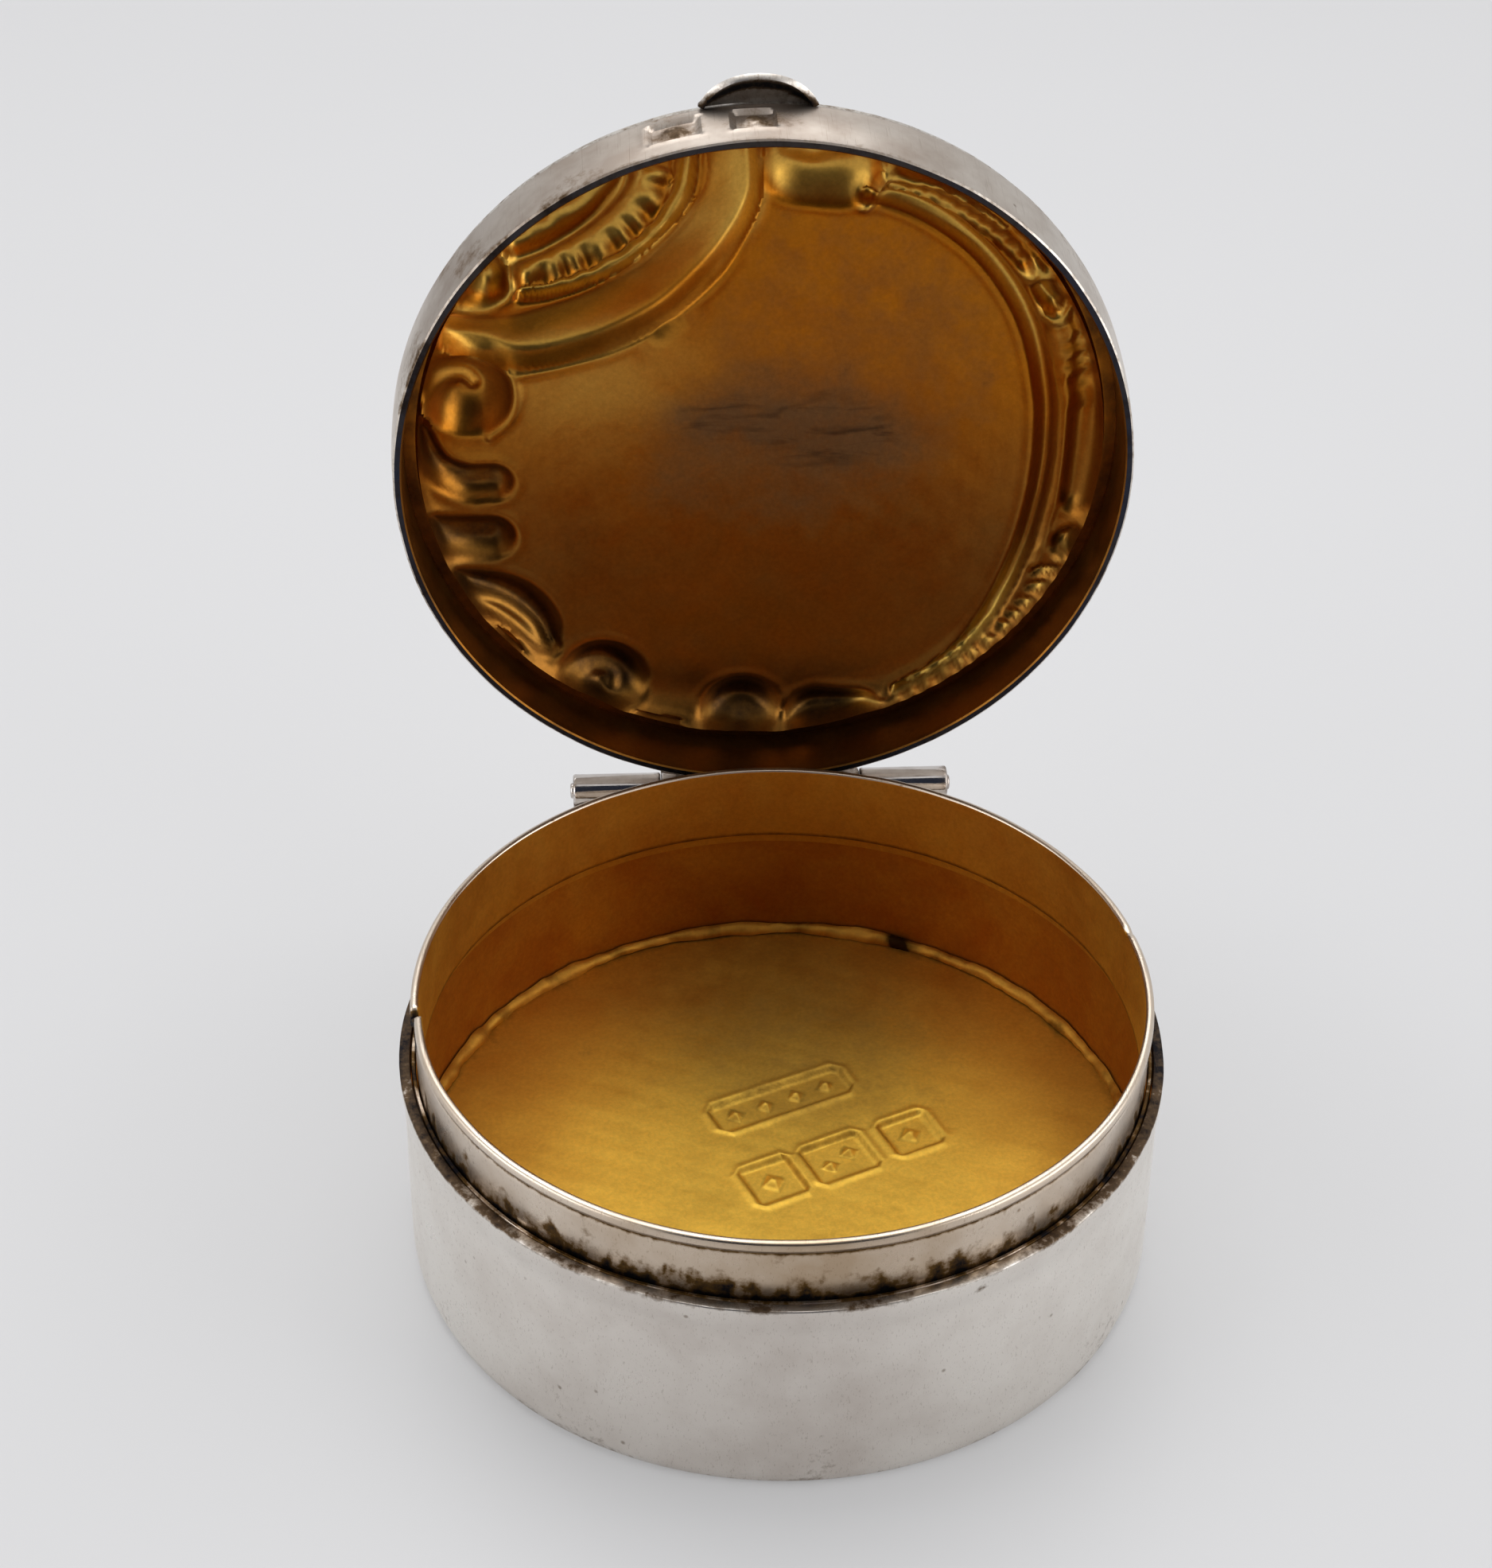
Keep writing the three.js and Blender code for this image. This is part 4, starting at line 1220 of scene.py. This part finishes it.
        def strike(points: Array) -> Array:
            """Sinks the cartouches and lifts their edges and bosses."""
            lift = 0.05 * ripple(points, 16.0, 51) + 0.012 * ripple(points, 2.5, 52)
            marked = np.zeros(len(points))
            for x, y, a, b, bosses in CARTOUCHES:
                s, t = way @ (points[:, :2] - (x, y)).T
                square = np.maximum(np.abs(s) - a, np.abs(t) - b)
                square = np.maximum(square, (np.abs(s) + np.abs(t)) - (a + b) * 0.92)
                lift -= 0.2 * ease(0.1, -0.25, square)
                lift += 0.07 * bump(square - 0.15, 0.2)
                marked = np.maximum(marked, bump(square + 0.06, 0.14))
                for p, q, size in bosses:
                    off = np.abs(s - p) + np.abs(t - q)
                    lift += 0.26 * ease(size, size * 0.1, off)
                    marked = np.maximum(marked, 0.8 * bump(off - size, 0.16))
            paint(piece, "grime_and_shade", marked)
            points[:, 2] += lift
            return points

        shape(piece, strike)
        apply_modifier(piece, "SOLIDIFY", thickness=0.6 * MM, offset=-1.0)
        points = points_of(piece)
        x, y = points[:, 0], points[:, 1]
        radius = np.hypot(x, y)
        dull = ease(9.5, 3.0, np.hypot(x - 1.5, (y - 7.0) * 1.1))
        edge = ease(7.0, 15.0, np.hypot(x, y + 2.0)) * ease(-13.0, -4.0, y)
        # darker towards the back and round the rim except at the front: painted shade, the front being
        # where light falls in
        paint(piece, "patina_and_shade", unit(0.2 * ease(2.0, 15.0, y) + 0.4 * edge))
        paint(piece, "bloom", unit(0.36 * dull))
        marked = np.zeros(len(points), np.float32)
        piece.data.attributes["grime_and_shade"].data.foreach_get("value", marked)
        paint(piece, "grime_and_shade", 0.34 * marked + 0.35 * bump(radius - 17.2, 0.5))
        dress(piece, [self.finishes.gilt])
        return settle(piece, Body.BOX, ["floor_plate"], smooth=60.0)

    def solder(self) -> bpy.types.Object:
        """Runs the lumpy bead of solder round the floor.

        Returns:
            The gilt bead.
        """
        low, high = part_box("floor_fillet")
        outer = high.x / MM
        side, foot = outer - 0.02, low.z / MM
        outline = arc((side, foot - 0.02), 0.42, 90.0, 180.0, 8) + [(side, foot)]
        piece = turned("floor_fillet_solder", outline, 540)

        def run(points: Array) -> Array:
            """Makes the bead fuller and thinner as the solder ran."""
            out = points[:, :2]
            radius = np.hypot(*out.T)
            full = 1.0 + 0.3 * ripple(points, 5.0, 61) + 0.16 * ripple(points, 1.6, 62)
            points[:, :2] = outward(out, outer - (outer - radius) * full)
            points[:, 2] = foot + (points[:, 2] - foot) * full
            return points

        shape(piece, run)
        points = points_of(piece)
        angle = polar(points[:, :2])[1]
        grime_and_shade = 0.75 * bump(turn_gap(angle, 65.0), 3.0) + 0.4 * bump(turn_gap(angle, 83.0), 2.0)
        paint(piece, "grime_and_shade", grime_and_shade + 0.35 * ease(0.3, 0.9, ripple(points, 3.0, 63)))
        paint(piece, "patina_and_shade", 0.65)
        dress(piece, [self.finishes.gilt])
        return settle(piece, Body.BOX, ["floor_fillet"], smooth=60.0)

    def liner(self) -> bpy.types.Object:
        """Turns the liner that the lid closes over, with its bead and its open seam.

        Returns:
            The liner, gilt inside and silver outside.
        """
        bead, top = self.liner_bead - self.liner_neck, self.liner_top
        outline = [
            *line((self.liner_inner, top - 0.16), (self.liner_inner, self.liner_low + 0.05), 16),
            (self.liner_inner + 0.05, self.liner_low), (self.liner_neck - 0.05, self.liner_low),
            *line((self.liner_neck, self.liner_low + 0.05), (self.liner_neck, top - 0.78), 18),
            (self.liner_neck - 0.05, top - 0.68), (self.liner_neck - 0.04, top - 0.6),
            (self.liner_neck + bead * 0.6, top - 0.53),
            *arc((self.liner_bead - 0.16, top - 0.34), 0.16, -30.0, 30.0, 4),
            *arc((self.liner_bead - 0.2, top - 0.2), 0.2, 30.0, 90.0, 4),
            *arc((self.liner_inner + 0.1, top - 0.1), 0.1, 90.0, 170.0, 4),
        ]
        piece = turned("liner_ring_beaded", outline, 720)

        def open_seam(points: Array) -> Array:
            """Opens the seam: one end stands a little higher and further out than the other."""
            angle = polar(points[:, :2])[1]
            gap = turn_gap(angle, self.seam)
            high = ease(11.5, 13.8, points[:, 2])
            step = np.where(gap > 0, 0.16, -0.05) * bump(gap, 9.0)
            nick = bump(turn_gap(angle, 11.0), 0.8)
            points[:, 2] += high * (-0.13 * np.where(gap < 0, 0.2, 1.0) * bump(gap, 6.0) - 0.12 * nick)
            points[:, 2] -= high * 0.42 * bump(gap, 0.45)
            grow = -high * step * 0.8 + 0.02 * ripple(points, 8.0, 71)
            points[:, :2] += outward(points[:, :2], grow)
            return points

        shape(piece, open_seam)
        points = points_of(piece)
        y, z = points[:, 1], points[:, 2]
        radius, angle = polar(points[:, :2])
        outside = radius > 17.05
        round_place = np.column_stack([angle * 0.3, z * 0.4, np.zeros(len(z))])
        foot = ease(13.0, 11.05, z - 0.6 * ripple(points, 2.2, 73) - 0.5 * ripple(round_place, 1.4, 75))
        front = 0.2 * bump(turn_gap(angle, -100.0), 30.0)
        grime_and_shade = outside * foot * (0.5 + 0.4 * ripple(round_place, 1.1, 74) + front)
        grime_and_shade += outside * 0.16 * ease(0.2, 0.9, ripple(round_place, 0.7, 76))
        # a dark line in the groove under the bead: painted shade
        grime_and_shade += outside * 0.7 * bump(z - (self.liner_top - 0.66), 0.1)
        grime_and_shade += 0.6 * ~outside * ease(self.liner_low + 0.16, self.liner_low + 0.04, z)
        grime_and_shade += 0.9 * bump(turn_gap(angle, self.seam), 0.7) + 0.3 * outside * ease(11.25, 11.1, z)
        paint(piece, "grime_and_shade", unit(grime_and_shade))
        paint(piece, "patina_and_shade", np.where(outside, 0.0, 0.58 + 0.15 * ease(-5.0, 15.0, y)))
        # haze at the front of the liner: a painted darker reflection of what stands in front of the box
        paint(piece, "haze_and_dark_reflection", 0.75 * bump(turn_gap(angle, -88.0), 24.0) * outside)

        def finish(centres: Array, normals: Array) -> Array:
            """Gilt inside, up to the shoulder of the bead, and on the lower edge."""
            facing = (centres[:, :2] * normals[:, :2]).sum(1) / np.hypot(*centres[:, :2].T)
            within = (facing < -0.3) & (centres[:, 2] < self.liner_top - 0.1)
            return np.where(within | (centres[:, 2] < self.liner_low + 0.06), 1, 0)

        dress(piece, [self.finishes.stained, self.finishes.gilt], finish)
        return settle(piece, Body.BOX, ["liner_ring"], smooth=50.0)

    def seat(self) -> bpy.types.Object:
        """Turns the seat between wall and liner, black with old tarnish on its ledge.

        Returns:
            The seat.
        """
        low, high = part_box("seat_ring")
        inner, outer, bottom, top = self.liner_neck + 0.05, high.x / MM, low.z / MM, high.z / MM
        outline = [
            (inner, bottom), (inner, self.liner_low + 0.05), (inner, top - 0.1), (inner + 0.05, top - 0.04),
            *line((inner + 0.08, top - 0.04), (outer - 0.05, top - 0.04), 3),
            (outer, top - 0.1), (outer, bottom),
        ]
        piece = turned("seat_ring_turned", outline, 540)
        points = points_of(piece)
        angle = polar(points[:, :2])[1]
        sides = np.maximum(bump(turn_gap(angle, 200.0), 40.0), bump(turn_gap(angle, -30.0), 36.0))
        grime_and_shade = 0.42 + 0.3 * sides + 0.4 * ripple(points, 3.0, 81)
        paint(piece, "grime_and_shade", unit(np.where(points[:, 2] > 10.7, grime_and_shade, 0.0)))
        paint(piece, "patina_and_shade", 0.7)

        def finish(centres: Array, normals: Array) -> Array:
            """Gilt below, where it closes the gap under the liner."""
            return np.where((normals[:, 2] < -0.5) | (centres[:, 2] < self.liner_low), 1, 0)

        dress(piece, [self.finishes.stained, self.finishes.gilt], finish)
        return settle(piece, Body.BOX, ["seat_ring"])

    def build(self) -> None:
        """Builds every piece of the box."""
        self.shell()
        self.floor()
        self.solder()
        self.liner()
        self.seat()


# --------------------------------------------------------------------------- the hinge


@dataclass
class Hinge:
    """The three-barrel hinge, its pin, and the two bearers that carry the barrels.

    Attributes:
        finishes: The materials.
        steps: Sides of a barrel.
    """

    finishes: Finishes
    steps: int = 64

    def barrel(self, node: str, body: Body) -> bpy.types.Object:
        """Rolls one barrel, with filed ends.

        Args:
            node: The CAD barrel that it stands for.
            body: The body that it rides on.

        Returns:
            The barrel.
        """
        low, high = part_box(node)
        middle = (low + high) / 2
        radius, half = (high.z - low.z) / 2 / MM, (high.x - low.x) / 2 / MM
        bore, round_off = 0.45, 0.12
        outline = [
            (bore, 0.04 - half), (bore, half - 0.04), (bore + 0.05, half),
            *arc((radius - round_off, half - round_off), round_off, 90.0, 0.0, 4),
            *line((radius, half - 0.2), (radius, 0.2 - half), 16),
            *arc((radius - round_off, round_off - half), round_off, 0.0, -90.0, 4), (bore + 0.05, -half),
        ]
        piece = turned(node + "_rolled", outline, self.steps)
        piece.rotation_euler = (0.0, math.pi / 2, 0.0)
        piece.location = middle
        bpy.ops.object.transform_apply(location=True, rotation=True, scale=False)
        points = points_of(piece)
        ends = np.maximum(bump(points[:, 0] - low.x / MM, 0.3), bump(points[:, 0] - high.x / MM, 0.3))
        under = ease(12.0, 11.3, points[:, 2])
        paint(piece, "grime_and_shade", unit(0.4 * ends + 0.3 * under + 0.15 * ripple(points, 2.0, 91)))
        dress(piece, [self.finishes.worn])
        return settle(piece, body, [node], smooth=35.0)

    def bearer(self, node: str, body: Body) -> bpy.types.Object:
        """Files the corners of a bearer.

        Args:
            node: The CAD bearer that it stands for.
            body: The body that it rides on.

        Returns:
            The bearer.
        """
        piece = softened(node, node + "_filed", 0.08)
        points = points_of(piece)
        paint(piece, "grime_and_shade", unit(0.45 + 0.35 * ripple(points, 2.5, 92)))
        dress(piece, [self.finishes.worn])
        return settle(piece, body, [node], smooth=35.0)

    def pin(self) -> bpy.types.Object:
        """Rounds the ends of the pin.

        Returns:
            The pin.
        """
        piece = softened("hinge_pin", "hinge_pin_riveted", 0.1)
        paint(piece, "grime_and_shade", 0.35)
        dress(piece, [self.finishes.worn])
        return settle(piece, Body.BOX, ["hinge_pin"], smooth=35.0)

    def build(self) -> None:
        """Builds every piece of the hinge."""
        self.barrel("knuckle_left", Body.BOX)
        self.barrel("knuckle_right", Body.BOX)
        self.barrel("knuckle_lid", Body.LID)
        self.bearer("body_bearer", Body.BOX)
        self.bearer("lid_bearer", Body.LID)
        self.pin()


# --------------------------------------------------------------------------- the studio


@dataclass
class Studio:
    """Camera, table and light.

    Attributes:
        eye: Where the camera stands, in millimetres.
        look: The way that it looks.
        up: What is up in its view.
        lens: Its focal length for a 36 mm sensor.
        softbox: The side of each lamp's square face, in millimetres.
    """

    eye: Point = (-8.378, -117.221, 112.06)
    look: Point = (0.04526, 0.80532, -0.59111)
    up: Point = (0.02399, 0.59067, 0.80656)
    lens: float = 75.08
    softbox: float = 220.0

    def camera(self) -> None:
        """Sets up the camera."""
        data = bpy.data.cameras.new("camera")
        data.lens, data.sensor_width = self.lens, 36.0
        data.clip_start, data.clip_end = 0.005, 20.0
        camera = bpy.data.objects.new("camera", data)
        look = Vector(self.look).normalized()
        right = look.cross(Vector(self.up)).normalized()
        above = right.cross(look)
        turn = Matrix((right, above, -look)).transposed().to_4x4()
        camera.matrix_world = Matrix.Translation(Vector(self.eye) * MM) @ turn
        bpy.context.scene.collection.objects.link(camera)
        bpy.context.scene.camera = camera

    def table(self) -> None:
        """Lays the pale table top."""
        bpy.ops.object.select_all(action="DESELECT")
        bpy.ops.mesh.primitive_plane_add(size=6.0, location=(0.0, 0.0, -0.00002))
        top = bpy.context.object
        top.name = "table_top"
        dress(top, [PaleTable().material()])

    def lamp(self, name: str, place: Point, watts: float) -> None:
        """Hangs a soft white lamp that faces the box.

        Args:
            name: The lamp's name.
            place: Where it hangs, in millimetres.
            watts: Its power.
        """
        data = bpy.data.lights.new(name, "AREA")
        data.energy, data.size = watts, self.softbox * MM
        lamp = bpy.data.objects.new(name, data)
        spot = Vector(place) * MM
        lamp.location = spot
        lamp.rotation_euler = (Vector((0.0, 0.0, 0.015)) - spot).to_track_quat("-Z", "Y").to_euler()
        bpy.context.scene.collection.objects.link(lamp)

    def flag(self) -> None:
        """Hangs a dark cloth behind the camera, which only shows as a reflection in the metal."""
        bpy.ops.object.select_all(action="DESELECT")
        look = Vector(self.look).normalized()
        spot = Vector(self.eye) * MM - look * 0.05
        facing = look.to_track_quat("Z", "Y").to_euler()
        bpy.ops.mesh.primitive_plane_add(size=0.26, location=spot, rotation=facing)
        cloth = bpy.context.object
        cloth.name = "dark_flag"
        made, wires = start("black_felt")
        wires.end(wires.over(wires.noise(3.0), tone("#0B1424"), "#141C30"), 0.9)
        dress(cloth, [made])
        cloth.visible_camera = False
        cloth.visible_diffuse = False
        cloth.visible_shadow = False

    def daylight(self) -> None:
        """Fills the room with soft even light."""
        world = bpy.data.worlds.new("room")
        world.use_nodes = True
        world.node_tree.nodes.clear()
        glow = add(world.node_tree, "Background", Color=tone("#F7F7F7"), Strength=0.76)
        add(world.node_tree, "OutputWorld", Surface=glow.outputs[0])
        bpy.context.scene.world = world

    def build(self) -> None:
        """Sets up the whole studio."""
        bpy.context.scene.view_settings.view_transform = "Standard"
        self.camera()
        self.table()
        self.daylight()
        self.lamp("softbox_top", (-10.0, 110.0, 240.0), 0.4)
        self.lamp("softbox_right", (230.0, -60.0, 90.0), 0.3)
        self.lamp("softbox_left", (-230.0, -60.0, 90.0), 0.22)
        self.flag()


# --------------------------------------------------------------------------- the whole box


def dress_frame(frame: dict, finishes: Finishes) -> None:
    """Gives every CAD node a material: gilt for the floor, its solder and the lid plate, silver for the
    rest.

    Args:
        finishes: The materials.
    """
    for name, node in frame["nodes"].items():
        inside = name in ("floor_plate", "floor_fillet", "lid_plate")
        dress(node, [finishes.gilt if inside else finishes.silver])


def main() -> None:
    """Builds the pill box and its studio."""
    logging.basicConfig(level=logging.INFO, format="%(name)s: %(message)s")
    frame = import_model()
    finishes = Finishes.make()
    dress_frame(frame, finishes)
    Box(finishes).build()
    Lid(finishes).build()
    Hinge(finishes).build()
    Studio().build()


if __name__ == "__main__":
    main()
